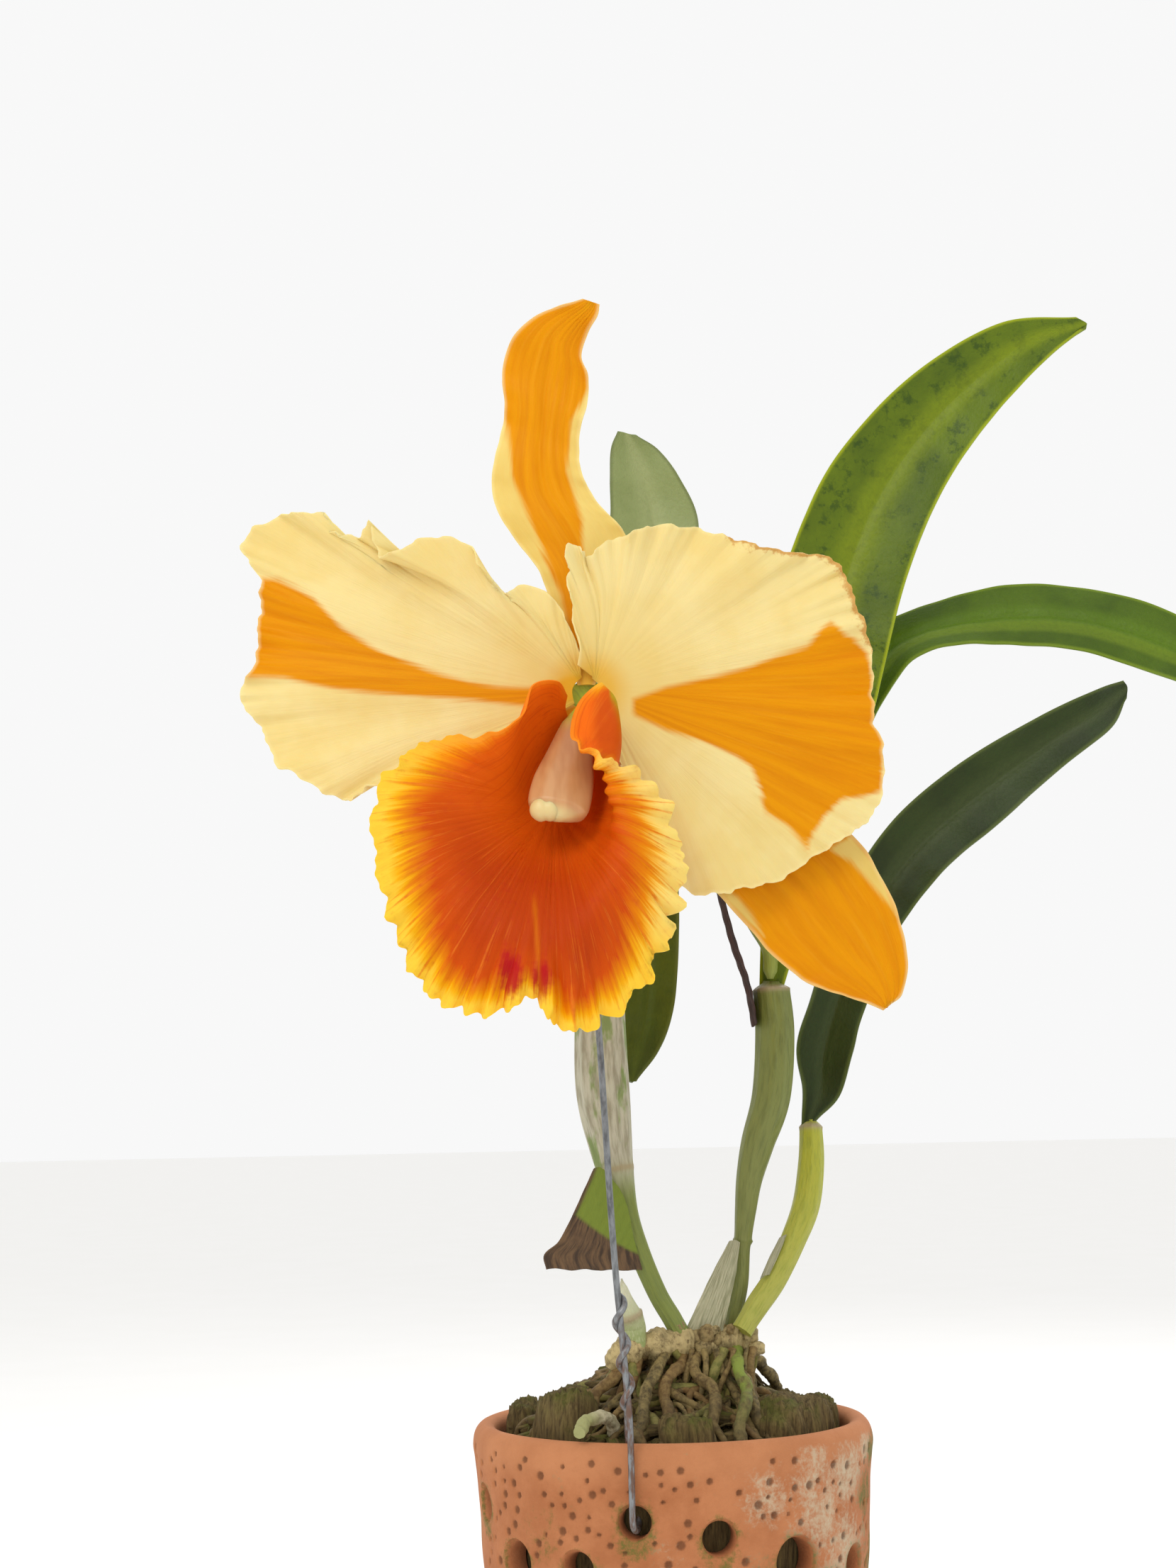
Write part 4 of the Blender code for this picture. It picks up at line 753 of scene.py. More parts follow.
@dataclass(frozen=True)
class DryFinish:
    """Dry papery tissue: pale or brown, with long fibres, and still green where it isn't dead."""

    name: str
    light: Colour
    deep: Colour
    green: Colour | None = None

    def material(self) -> bpy.types.Material:
        """Return the material, which reads across, along and dead from the mesh."""
        board = Board(self.name)
        place = board.place()
        along = board.times(board.mark("along"), 0.12)
        lines = board.noise(board.join(board.times(board.mark("across"), 9.0), along), 0.8, 4.0)
        clouds = board.noise(place, 3.5, 4.0, 0.6)
        colour = board.mix(board.span(lines, 0.35, 0.68), self.light, self.deep)
        colour = board.over(colour, self.deep, board.span(clouds, 0.5, 0.75), 0.4)
        if self.green is not None:
            colour = board.mix(board.span(board.mark("dead"), 0.7, -0.7), colour, self.green)
        board.finish(colour, 0.8, lines, 0.3)
        return board.material


@dataclass(frozen=True)
class ClayFinish:
    """Fired clay: orange-brown, chalky mineral bloom on one side, and green algae in the damp; with painted
    shade in its pits and inside its mouth, and a painted highlight on its rim.
    """

    clay: Colour = tone("bd7b50")
    burnt: Colour = tone("a9683f")
    # lip: a painted highlight, the rounded rim lighter than the wall, as where it catches the light
    lip: Colour = tone("c98a5e")
    chalk: Colour = tone("c6b598")
    algae: Colour = tone("5c6426")
    # pit: painted shade in the hollow of each pit
    pit: Colour = tone("4a2c1a")

    def material(self) -> bpy.types.Material:
        """Return the material, which reads pit, chalk, damp, lip and inside from the mesh."""
        board = Board("fired_clay")
        place = board.place()
        clouds = board.noise(place, 14.0, 5.0, 0.6)
        grit = board.noise(place, 1.1, 5.0, 0.7)
        blotch = board.noise(place, 5.0, 5.0, 0.7)
        colour = board.mix(board.span(clouds, 0.32, 0.7), self.clay, self.burnt)
        colour = board.over(colour, self.burnt, board.span(grit, 0.45, 0.72), 0.25)
        # Painted highlight on the rounded rim
        colour = board.over(colour, self.lip, board.mark("lip"), 0.35)
        chalk = board.plus(board.mark("chalk"), board.swing(blotch, 1.7))
        chalk = board.plus(chalk, board.swing(grit, 1.6))
        colour = board.over(colour, self.chalk, board.span(chalk, 0.3, 1.25), 0.9)
        damp = board.plus(board.mark("damp"), board.swing(blotch, 2.0))
        damp = board.plus(damp, board.swing(grit, 1.6))
        colour = board.over(colour, self.algae, board.span(damp, 0.35, 1.15), 0.85)
        # Painted shade: each pit darker towards its middle, for the shadow in its hollow
        pit = board.span(board.mark("pit"), 1.15, 0.65)
        colour = board.over(colour, self.pit, pit, 0.6)
        # Painted shade: the inside of the wall below the rim darkened, where the pot's mouth lies in shade
        inside = board.mark("inside")
        colour = board.over(colour, tone("5a3a26"), inside, 0.55)
        relief = board.plus(grit, board.times(blotch, 0.7))
        board.finish(colour, 0.82, relief, 0.22)
        board.tune("Specular IOR Level", 0.3)
        return board.material


@dataclass(frozen=True)
class FibreFinish:
    """Coconut husk: dark fibres with lighter strands, and moss on what faces up."""

    name: str
    dark: Colour = tone("2e2617")
    mid: Colour = tone("665636")
    light: Colour = tone("857548")
    moss: Colour = tone("565c22")
    moss_share: float = 0.7

    def material(self) -> bpy.types.Material:
        """Return the material, which reads the grain and each chunk's own tint from the mesh."""
        board = Board(self.name)
        place = board.place()
        grain = board.join(*(board.mark(mark) for mark in ("grain_a", "grain_b", "grain_c")))
        strands = board.noise(grain, 0.9, 5.0, 0.65)
        clouds = board.noise(place, 7.0, 4.0, 0.6)
        colour = board.ramp(strands, [(0.28, self.dark), (0.5, self.mid), (0.72, self.light)])
        tint = board.mark("tint")
        colour = board.over(colour, self.dark, tint, 0.5)
        upward = self.facing_up(board)
        moss = board.times(board.span(clouds, 0.42, 0.66), upward)
        colour = board.over(colour, self.moss, moss, self.moss_share)
        board.finish(colour, 0.92, board.plus(strands, clouds), 0.6)
        board.tune("Specular IOR Level", 0.2)
        return board.material

    @staticmethod
    def facing_up(board: Board) -> Socket:
        """Return 1 where the surface faces up and 0 where it faces sideways or down."""
        normal = board.add("ShaderNodeNewGeometry").outputs["Normal"]
        split = board.add("ShaderNodeSeparateXYZ")
        board.feed(split.inputs[0], normal)
        return board.span(split.outputs["Z"], -0.1, 0.6)


@dataclass(frozen=True)
class RootFinish:
    """A root's skin: velvety tan, orange-brown or green, scaly, and papery on the rhizome's knobs."""

    name: str
    light: Colour = tone("968450")
    deep: Colour = tone("463c20")
    rust: Colour = tone("7c5224")
    papery: Colour = tone("c2ae7a")
    fresh: Colour = tone("83923a")
    tip: Colour | None = None

    def material(self) -> bpy.types.Material:
        """Return the material, which reads along, tint, knob and green from the mesh."""
        board = Board(self.name)
        place = board.place()
        scales = board.noise(place, 1.6, 5.0, 0.7)
        blotch = board.noise(place, 5.0, 4.0, 0.6)
        colour = board.mix(board.span(scales, 0.35, 0.68), self.light, self.deep)
        colour = board.over(colour, self.rust, board.mark("tint"), 0.6)
        colour = board.over(colour, self.papery, board.mark("knob"), board.span(scales, 0.75, 0.4))
        young = board.times(board.mark("green"), board.span(board.mark("along"), 0.95, 0.45))
        colour = board.over(colour, self.fresh, young, board.span(blotch, 0.75, 0.5))
        colour = board.over(colour, self.deep, board.span(blotch, 0.48, 0.72), 0.5)
        plain = board.math("SUBTRACT", 1.0, board.mark("knob"))
        # Darker along each root towards its far end, except on the knobs
        darker_onward = board.times(board.span(board.mark("along"), 0.3, 0.95), plain)
        colour = board.over(colour, self.deep, darker_onward, 0.55 if self.tip is None else 0.0)
        if self.tip is not None:
            colour = board.mix(board.span(board.mark("along"), 0.45, 0.7), colour, self.tip)
        board.finish(colour, 0.8, board.plus(scales, blotch), 0.4)
        return board.material


@dataclass(frozen=True)
class WireFinish:
    """Galvanised wire: dull zinc with darker oxide, and a little rust low down."""

    zinc: Colour = tone("8f9294")
    oxide: Colour = tone("5f6163")
    rust: Colour = tone("7a5238")

    def material(self) -> bpy.types.Material:
        """Return the material, which reads nothing from the mesh."""
        board = Board("galvanised_zinc")
        place = board.place()
        spangle = board.noise(board.squeeze(place, (1.0, 1.0, 0.3)), 1.2, 4.0, 0.6)
        colour = board.mix(board.span(spangle, 0.35, 0.68), self.zinc, self.oxide)
        split = board.add("ShaderNodeSeparateXYZ")
        board.feed(split.inputs[0], place)
        low = board.times(board.span(split.outputs["Z"], 132.0, 112.0), board.span(spangle, 0.42, 0.62))
        colour = board.over(colour, self.rust, low, 0.6)
        board.finish(colour, 0.45, spangle, 0.08)
        board.tune("Metallic", 0.75)
        return board.material


def show(name: str, data: bpy.types.ID) -> Piece:
    """Put an object with the given mesh, lamp or camera in the scene."""
    thing = bpy.data.objects.new(name, data)
    bpy.context.scene.collection.objects.link(thing)
    return thing


def keep_marks(mesh: bpy.types.Mesh, marks: Marks) -> None:
    """Keep numbers, by name, at a mesh's points."""
    for mark, values in marks.items():
        layer = mesh.attributes.new(mark, "FLOAT", "POINT")
        layer.data.foreach_set("value", np.ascontiguousarray(values, dtype=np.float32).ravel())


def build_mesh(
    name: str,
    points: np.ndarray,
    faces: Faces,
    marks: Marks,
    material: bpy.types.Material,
    sharp: float = 60.0,
) -> Piece:
    """Make an object from points in millimetres, and keep its marks at the points.

    Args:
        name: the piece's name.
        points: an array of x, y, z.
        faces: corner numbers of each face.
        marks: a number for each point, by name.
        material: the finish.
        sharp: the angle in degrees past which an edge stays sharp.

    Returns:
        The object, linked to the scene.
    """
    mesh = bpy.data.meshes.new(name)
    mesh.from_pydata((points * MM).tolist(), [], faces)
    keep_marks(mesh, marks)
    work = bmesh.new()
    work.from_mesh(mesh)
    bmesh.ops.recalc_face_normals(work, faces=work.faces)
    work.to_mesh(mesh)
    work.free()
    mesh.shade_smooth()
    mesh.set_sharp_from_angle(angle=math.radians(sharp))
    mesh.materials.append(material)
    return show(name, mesh)


def settle(piece: Piece, slot: str, *nodes: str) -> Piece:
    """Ride a piece on the part, and let it stand for CAD nodes."""
    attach(piece, "root")
    if nodes:
        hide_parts(*nodes)
    faces = sum(len(face.vertices) - 2 for face in piece.data.polygons)
    LOG.info("%s: %d triangles, for %s", piece.name, faces, ", ".join(nodes) or "nothing in the solids")
    return piece


@dataclass
class Sheet:
    """A thin sheet of tissue: a grid of points across and along it, and marks at each point."""

    grid: np.ndarray
    marks: Marks = field(default_factory=dict)

    @classmethod
    def through(cls, lines: Sequence[Sequence[Point]], along: int, across: int) -> "Sheet":
        """Lay a smooth sheet through lines side by side.

        Args:
            lines: the lines, each from its start to its end.
            along: samples along each line.
            across: samples from the first line to the last.

        Returns:
            The sheet, whose first index runs across the lines.
        """
        sampled = np.array([smooth_line(line, along) for line in lines])
        columns = [smooth_line(sampled[:, index], across) for index in range(along)]
        return cls(np.stack(columns, axis=1))

    def shares(self) -> tuple[np.ndarray, np.ndarray]:
        """Return each point's share across and along the sheet, from 0 to 1."""
        rows, columns = self.grid.shape[:2]
        return tuple(np.meshgrid(np.linspace(0.0, 1.0, rows), np.linspace(0.0, 1.0, columns), indexing="ij"))

    def normals(self) -> np.ndarray:
        """Return the unit normal at each point."""
        return unit(np.cross(np.gradient(self.grid, axis=0), np.gradient(self.grid, axis=1)))

    def push(self, height: np.ndarray) -> None:
        """Move each point along its normal by a height in millimetres."""
        self.grid = self.grid + self.normals() * height[..., None]

    def lengths(self) -> np.ndarray:
        """Return how far along the sheet's middle line each point lies, in millimetres."""
        middle = self.grid[len(self.grid) // 2]
        return np.broadcast_to(arc_lengths(middle)[None, :], self.grid.shape[:2])

    def widths(self) -> np.ndarray:
        """Return the sheet's width across at each point along it, in millimetres."""
        return np.linalg.norm(np.diff(self.grid, axis=0), axis=2).sum(axis=0)[None, :]

    def solid(self, name: str, thickness: np.ndarray | float, material: bpy.types.Material) -> Piece:
        """Thicken the sheet into a closed blade.

        Args:
            name: the piece's name.
            thickness: the blade's thickness in millimetres, one value or one for each point.
            material: the finish.

        Returns:
            The blade. Its mark back is 1 on the face that looks away from the first one.
        """
        rows, columns = self.grid.shape[:2]
        half = np.broadcast_to(np.asarray(thickness, dtype=float), (rows, columns))[..., None] / 2.0
        offset = self.normals() * half
        points = np.concatenate([(self.grid + offset).reshape(-1, 3), (self.grid - offset).reshape(-1, 3)])
        back = rows * columns
        index = np.arange(back).reshape(rows, columns)
        corners = [index[:-1, :-1], index[:-1, 1:], index[1:, 1:], index[1:, :-1]]
        quads = np.stack(corners, axis=-1).reshape(-1, 4)
        faces = [tuple(quad) for quad in quads.tolist()]
        faces += [tuple(quad) for quad in (quads[:, ::-1] + back).tolist()]
        edge = np.concatenate([index[0], index[1:, -1], index[-1, -2::-1], index[-2:0:-1, 0]]).tolist()
        for here, there in zip(edge, edge[1:] + edge[:1]):
            faces.append((there, here, back + here, back + there))
        marks = {key: np.concatenate([values.ravel(), values.ravel()]) for key, values in self.marks.items()}
        marks["back"] = np.concatenate([np.zeros(back), np.ones(back)])
        return build_mesh(name, points, faces, marks, material)


@dataclass
class Tube:
    """A stem or root: a line with a radius at each point, and any ripple of its skin."""

    line: np.ndarray
    sides: int = 24
    depths: np.ndarray | None = None
    ripple: Callable[[np.ndarray, np.ndarray], np.ndarray] | None = None

    def shell(self) -> Shell:
        """Return the tube's points, faces and marks along, turn and ring."""
        path = self.line[:, :3]
        radii = self.line[:, 3]
        depths = radii if self.depths is None else self.depths
        tangents = unit(np.gradient(path, axis=0))
        upright = np.array([0.0, 1.0, 0.0]) if abs(tangents[0][1]) < 0.8 else np.array([0.0, 0.0, 1.0])
        sideways = np.cross(upright, tangents[0])
        turns = 2.0 * math.pi * np.arange(self.sides) / self.sides
        rings = []
        for index, (centre, tangent) in enumerate(zip(path, tangents)):
            sideways = sideways - tangent * np.dot(sideways, tangent)
            sideways /= np.linalg.norm(sideways)
            upward = np.cross(tangent, sideways)
            share = np.full(self.sides, index / (len(path) - 1))
            swell = 1.0 if self.ripple is None else 1.0 + self.ripple(share, turns)[:, None]
            wide = sideways * radii[index] * np.cos(turns)[:, None]
            deep = upward * depths[index] * np.sin(turns)[:, None]
            rings.append(centre + (wide + deep) * swell)
        points = np.array(rings).reshape(-1, 3)
        along = np.repeat(np.linspace(0.0, 1.0, len(path)), self.sides)
        turned = np.tile(np.abs(turns - math.pi), len(path))
        marks = {"along": along, "turn": turned, "ring": np.zeros(len(points))}
        return points, ring_faces(len(path), self.sides), marks


def ring_faces(rings: int, sides: int) -> Faces:
    """Return the faces of a shell of rings, each of the same number of sides, with both ends closed."""
    faces = []
    for ring in range(rings - 1):
        for side in range(sides):
            after = (side + 1) % sides
            low, high = ring * sides, (ring + 1) * sides
            faces.append((low + side, low + after, high + after, high + side))
    last = rings * sides
    return faces + [tuple(range(sides)), tuple(range(last - 1, last - sides - 1, -1))]


class Cluster:
    """Several closed shells gathered into one piece."""

    def __init__(self) -> None:
        """Start with no shells."""
        self.points: list[np.ndarray] = []
        self.faces: Faces = []
        self.marks: dict[str, list[np.ndarray]] = {}
        self.count = 0

    def add(self, points: np.ndarray, faces: Faces, marks: Marks) -> None:
        """Add a shell's points, faces and marks."""
        self.faces += [tuple(corner + self.count for corner in face) for face in faces]
        self.points.append(points)
        for name, values in marks.items():
            self.marks.setdefault(name, []).append(values)
        self.count += len(points)

    def piece(self, name: str, material: bpy.types.Material, sharp: float = 60.0) -> Piece:
        """Make the piece."""
        marks = {mark: np.concatenate(values) for mark, values in self.marks.items()}
        return build_mesh(name, np.concatenate(self.points), self.faces, marks, material, sharp)


@dataclass
class Petal:
    """A broad petal: a fan from its short claw to a margin with waves, frills and a fringe."""

    name: str
    claw: Sequence[Point]
    margin: Sequence[Point]
    wedge: Sequence[Place]
    finish: TissueFinish
    seed: float
    dry_span: tuple[float, float] = (0.0, 0.0)
    around: int = 350
    across: int = 54
    middle: float = 0.6
    softening: int = 38
    waves: float = 8.5
    wave_depth: float = 1.5
    thickness: float = 0.7
    edge_thickness: float = 0.36

    def surface(self) -> Sheet:
        """Return the petal's surface with its marks, before it is thickened."""
        inner = smooth_line(bloom(self.claw), self.around)
        outer = smooth_line(bloom(self.margin), self.around)
        middle = inner * (1.0 - self.middle) + self.softened(outer, self.softening) * self.middle
        eased = self.softened(outer, self.softening // 4)
        columns = [smooth_line([inner[i], middle[i], eased[i]], self.across) for i in range(self.around)]
        sheet = Sheet(np.stack(columns, axis=1))
        across, along = sheet.shares()
        sheet.grid = sheet.grid + (outer - eased)[None] * (across**6)[..., None]
        travelled = np.broadcast_to(arc_lengths(outer)[None, :], across.shape)
        steps = np.linalg.norm(np.diff(sheet.grid, axis=0), axis=2)
        reach = np.concatenate([np.zeros((1, self.around)), np.cumsum(steps, axis=0)])
        rim = reach[-1:] - reach
        self.ruffle(sheet, travelled, rim)
        places = seen(sheet.grid)
        sheet.marks = {
            "field": signed_distance(places, self.wedge),
            "around": travelled,
            "reach": reach,
            "rim": rim,
            "dry": self.dryness(along, rim),
        }
        return sheet

    @staticmethod
    def softened(line: np.ndarray, reach: int) -> np.ndarray:
        """Return the margin without its waves: each point the mean of its neighbours, with both ends kept."""
        spans = [min(reach, i, len(line) - 1 - i) for i in range(len(line))]
        return np.array([line[i - span:i + span + 1].mean(axis=0) for i, span in enumerate(spans)])

    def ruffle(self, sheet: Sheet, travelled: np.ndarray, rim: np.ndarray) -> None:
        """Raise the petal's waves, its frills towards the rim, its wrinkles and its fringe.

        Args:
            sheet: the petal, changed in place.
            travelled: millimetres along the margin.
            rim: millimetres from the margin.
        """
        across, along = sheet.shares()
        ends = np.minimum(1.0, 8.0 * np.minimum(along, 1.0 - along))
        reach = np.clip((across - 0.25) / 0.75, 0.0, 1.0) ** 1.6
        waves = self.wave_depth * reach * np.sin(2.0 * math.pi * self.waves * along)
        patches = 0.55 + 0.45 * np.sin(travelled / 11.0 + 2.0 * self.seed)
        frills = 1.1 * hum(travelled, 10.3, self.seed) * np.exp(-rim / 10.0)
        frills += 0.8 * patches * hum(travelled, 5.3, self.seed + 1.0) * np.exp(-rim / 6.5)
        frills += 0.3 * hum(travelled, 2.9, self.seed + 2.0) * np.exp(-rim / 3.0)
        wrinkles = 0.4 * patches * hum(travelled + 0.05 * rim, 3.4, self.seed + 3.0) * np.exp(-rim / 9.0)
        veins = 0.03 * hum(travelled, 6.4, self.seed + 4.0) * rise(across, 0.08, 0.3)
        sheet.push((waves + frills + wrinkles + veins) * ends)
        outward = unit(sheet.grid[-1] - sheet.grid[-self.across // 3])
        fringe = 0.4 * hum(travelled, 6.7, self.seed + 5.0) + 0.2 * hum(travelled, 2.9, self.seed + 6.0)
        sheet.grid = sheet.grid + outward[None] * (fringe * ends * across**7)[..., None]

    def dryness(self, along: np.ndarray, rim: np.ndarray) -> np.ndarray:
        """Return how dried the tissue is, from 0 to 1, along one stretch of the rim."""
        low, high = self.dry_span
        if high <= low:
            return np.zeros_like(rim)
        stretch = rise(along, low, low + 0.04) * rise(-along, -high, -high + 0.04)
        return stretch * np.exp(-rim / 1.6)

    def build(self, slot: str, node: str) -> Piece:
        """Make the petal in place of its solid."""
        sheet = self.surface()
        across, _ = sheet.shares()
        thickness = between(self.edge_thickness, self.thickness, rise(-across, -1.0, -0.55))
        return settle(sheet.solid(self.name, thickness, self.finish.material()), slot, node)


@dataclass
class Sepal:
    """A narrow sepal between two margins, folded along its middle and wavy at its edges."""

    name: str
    left: Sequence[Point]
    right: Sequence[Point]
    orange: Patch
    outlines: Sequence[Sequence[Place]]
    finish: TissueFinish
    seed: float
    along: int = 190
    across: int = 46
    fold: float = 1.2
    thickness: float = 0.7
    edge_thickness: float = 0.36

    def surface(self) -> Sheet:
        """Return the sepal's surface with its marks, before it is thickened."""
        sheet = Sheet.through([bloom(self.left), bloom(self.right)], self.along, self.across)
        across, along = sheet.shares()
        length = sheet.lengths()
        width = np.linalg.norm(sheet.grid[-1] - sheet.grid[0], axis=1)[None, :]
        rim = np.minimum(across, 1.0 - across) * width
        fold = self.fold * np.sin(math.pi * across) * np.sin(math.pi * np.minimum(1.0, along + 0.1))
        midrib = -0.5 * np.exp(-(((across - 0.5) * width / 0.9) ** 2)) * rise(-along, -0.97, -0.7)
        side = np.sign(across - 0.5)
        edge = 0.75 * hum(length + 6.0 * side, 12.0, self.seed) * np.exp(-rim / 5.0)
        edge += 0.3 * hum(length + 3.0 * side, 5.5, self.seed + 1.0) * np.exp(-rim / 2.6)
        ribs = 0.1 * hum(across * 26.0, 2.6, self.seed + 2.0) * rise(rim, 0.0, 2.0)
        ends = rise(along, 0.0, 0.08)
        sheet.push(fold + (midrib + edge + ribs) * ends)
        places = seen(sheet.grid)
        sheet.marks = {
            "field": self.field(places),
            "around": across * 26.0,
            "reach": length,
            "rim": rim,
            "dry": np.zeros_like(rim),
        }
        return sheet

    def field(self, places: np.ndarray) -> np.ndarray:
        """Return how many millimetres each point lies inside the sepal's orange."""
        nearest = np.max([signed_distance(places, outline) for outline in self.outlines], axis=0)
        return nearest + 1.3 if self.orange is Patch.BAND else 0.3 - nearest

    def build(self, slot: str, node: str) -> Piece:
        """Make the sepal in place of its solid."""
        sheet = self.surface()
        across, _ = sheet.shares()
        thickness = between(self.edge_thickness, self.thickness, np.sin(math.pi * across) ** 0.6)
        return settle(sheet.solid(self.name, thickness, self.finish.material()), slot, node)


@dataclass
class Lip:
    """The lip: rolled over the column near its claw, then spread, deeply frilled at its margin."""

    lines: Sequence[Sequence[Point]]
    finish: LipFinish = LipFinish()
    across: int = 138
    along: int = 240
    vein_centre: Place = (-8.0, -26.0)
    middle: Place = (-13.0, -42.0)
    frill_length: float = 6.2
    frill_depth: float = 1.7
    frill_turns: Sequence[Place] = (
        (80.0, 0.3), (135.0, 0.45), (200.0, 0.45), (235.0, 0.7), (262.0, 1.0), (330.0, 1.05), (400.0, 0.8),
        (440.0, 0.5),
    )
    gold_widths: Sequence[Place] = (
        (80.0, 0.9), (98.0, 1.0), (112.0, 2.4), (135.0, 6.4), (175.0, 7.4), (212.0, 6.6), (240.0, 5.0),
        (272.0, 3.6), (305.0, 5.0), (335.0, 8.0), (365.0, 8.4), (395.0, 6.2), (420.0, 1.8), (440.0, 1.0),
    )
    crimson_spots: Sequence[Blotch] = ((-17.4, -65.6, 3.6, 6.2), (-10.9, -67.2, 2.6, 5.6))
    throat_line: Sequence[Place] = ((1.3, 1.6), (6.9, -4.3), (9.2, -12.0), (10.3, -19.2))
    scallop_depth: float = 0.7
    thickness: float = 0.7
    edge_thickness: float = 0.4
    seed: float = 0.7

    def surface(self) -> Sheet:
        """Return the lip's surface with its marks, before it is thickened."""
        sheet = Sheet.through([bloom(line) for line in self.lines], self.along, self.across)
        across, along = sheet.shares()
        grid = sheet.grid
        rim = np.concatenate([grid[:, 0], grid[-1, 1:], grid[-2::-1, -1]])
        distance, travelled = self.nearest(grid, rim)
        fan = self.fan(grid, rim)
        near = np.exp(-distance / 3.5)
        travelled = blurred(near * travelled + (1.0 - near) * fan, 10)
        deeper = np.interp(self.angle(grid, self.middle), *zip(*self.frill_turns))
        free = rise(across, 0.2, 0.42)
        phase = 2.0 * math.pi * travelled / self.frill_length
        phase = phase + 1.9 * np.sin(travelled / 9.0) + 0.9 * np.sin(travelled / 4.7)
        uneven = 0.75 + 0.3 * np.sin(travelled / 7.3 + 1.0) + 0.25 * np.sin(travelled / 15.0)
        frill = self.frill_depth * deeper * uneven * np.sin(phase) * np.exp(-((distance / 8.0) ** 1.4))
        frill += 0.35 * deeper * hum(travelled, 3.1, self.seed) * np.exp(-distance / 5.0)
        swell = 0.8 * hum(travelled, 17.0, self.seed + 2.0) * np.exp(-distance / 14.0)
        ribs = 0.12 * hum(fan, 3.0, self.seed + 1.0) * rise(across, 0.2, 0.5)
        outward = unit((grid - np.array(bloom([(*self.middle, 20.0)])[0])) * np.array([1.0, 0.0, 1.0]))
        sheet.marks = self.paint(grid, rim, distance, across)
        sheet.marks["strand"] = along * 70.0
        sheet.push((frill + swell + ribs) * free)
        scallop = self.scallop_depth * uneven * np.cos(phase + 0.8 * np.sin(travelled / 5.0))
        scallop += 0.8 * hum(travelled, 9.7, self.seed + 5.0) + 0.35 * hum(travelled, 2.9, self.seed + 3.0)
        scallop *= 0.5 + 0.8 * deeper
        sheet.grid = sheet.grid + outward * (scallop * free * np.exp(-distance / 2.6))[..., None]
        return sheet

    @staticmethod
    def nearest(grid: np.ndarray, rim: np.ndarray) -> tuple[np.ndarray, np.ndarray]:
        """Return each point's distance to the rim, and how far along the rim the nearest place is."""
        travelled = arc_lengths(rim)
        flat = grid.reshape(-1, 3)
        best = np.full(len(flat), 1e9)
        at = np.zeros(len(flat))
        for start, end, run in zip(rim[:-1], rim[1:], travelled):
            length = float(np.linalg.norm(end - start))
            share = np.clip((flat - start) @ (end - start) / max(length**2, 1e-9), 0.0, 1.0)
            distance = np.linalg.norm(flat - start - share[:, None] * (end - start), axis=1)
            closer = distance < best
            best[closer] = distance[closer]
            at[closer] = run + share[closer] * length
        return best.reshape(grid.shape[:2]), at.reshape(grid.shape[:2])

    def angle(self, points: np.ndarray, centre: Place) -> np.ndarray:
        """Return the turn in degrees of each point about a centre, from 80 to 440."""
        x, _, z = bloom([(*centre, 0.0)])[0]
        return (np.degrees(np.arctan2(points[..., 2] - z, points[..., 0] - x)) - 80.0) % 360.0 + 80.0

    def fan(self, grid: np.ndarray, rim: np.ndarray) -> np.ndarray:
        """Return how far along the rim the vein through each point ends, in millimetres."""
        turns = np.maximum.accumulate(self.angle(rim, self.vein_centre))
        return np.interp(self.angle(grid, self.vein_centre), turns, arc_lengths(rim))

    def paint(self, grid: np.ndarray, rim: np.ndarray, distance: np.ndarray, across: np.ndarray) -> Marks:
        """Return the marks for the lip's colours.

        Args:
            grid: the points before the frill.
            rim: the points of the free margin.
            distance: millimetres from the margin.
            across: each point's share from the claw to the outer edge.
        """
        turn = self.angle(grid, self.middle)
        width = np.interp(turn, *zip(*self.gold_widths))
        side = rise(turn, 318.0, 345.0) * rise(-turn, -425.0, -402.0)
        places = seen(grid)
        blush = np.zeros_like(distance)
        for right, up, wide, tall in self.crimson_spots:
            reach = np.hypot((places[..., 0] - right) / wide, (places[..., 1] - up) / tall)
            blush = np.maximum(blush, 1.1 - reach)
        middle = -12.3 - 0.06 * (places[..., 1] + 51.4)
        line = np.exp(-(((places[..., 0] - middle) / 0.55) ** 2))
        line *= rise(-places[..., 1], 47.0, 53.0) * rise(places[..., 1], -73.0, -69.0)
        return {
            "edge": distance / width,
            "side": side,
            "fan": self.fan(grid, rim),
            "reach": distance,
            "blush": blush,
            "line": line,
            "throat": self.claw_band(places),
            # deep: where the rolled throat lies in shade, to be lightened with painted light, less on the
            # right flank
            "deep": rise(-across, -0.62, -0.2) * (1.0 - 0.65 * rise(places[..., 0], -0.5, 3.0)),
        }

    def claw_band(self, places: np.ndarray) -> np.ndarray:
        """Return the green band down the lip's right flank, from the flower's centre."""
        line = smooth_line(self.throat_line, 30)
        nearest = np.min([np.hypot(places[..., 0] - u, places[..., 1] - v) for u, v in line], axis=0)
        return np.exp(-((nearest / 1.3) ** 2)) * rise(places[..., 0], 4.6, 5.6)

    def build(self) -> Piece:
        """Make the lip in place of its solid."""
        sheet = self.surface()
        edge = np.minimum(sheet.marks["reach"] / 6.0, 1.0)
        thickness = between(self.edge_thickness, self.thickness, edge)
        return settle(sheet.solid("lip_frilled", thickness, self.finish.material()), "lip", "lip")


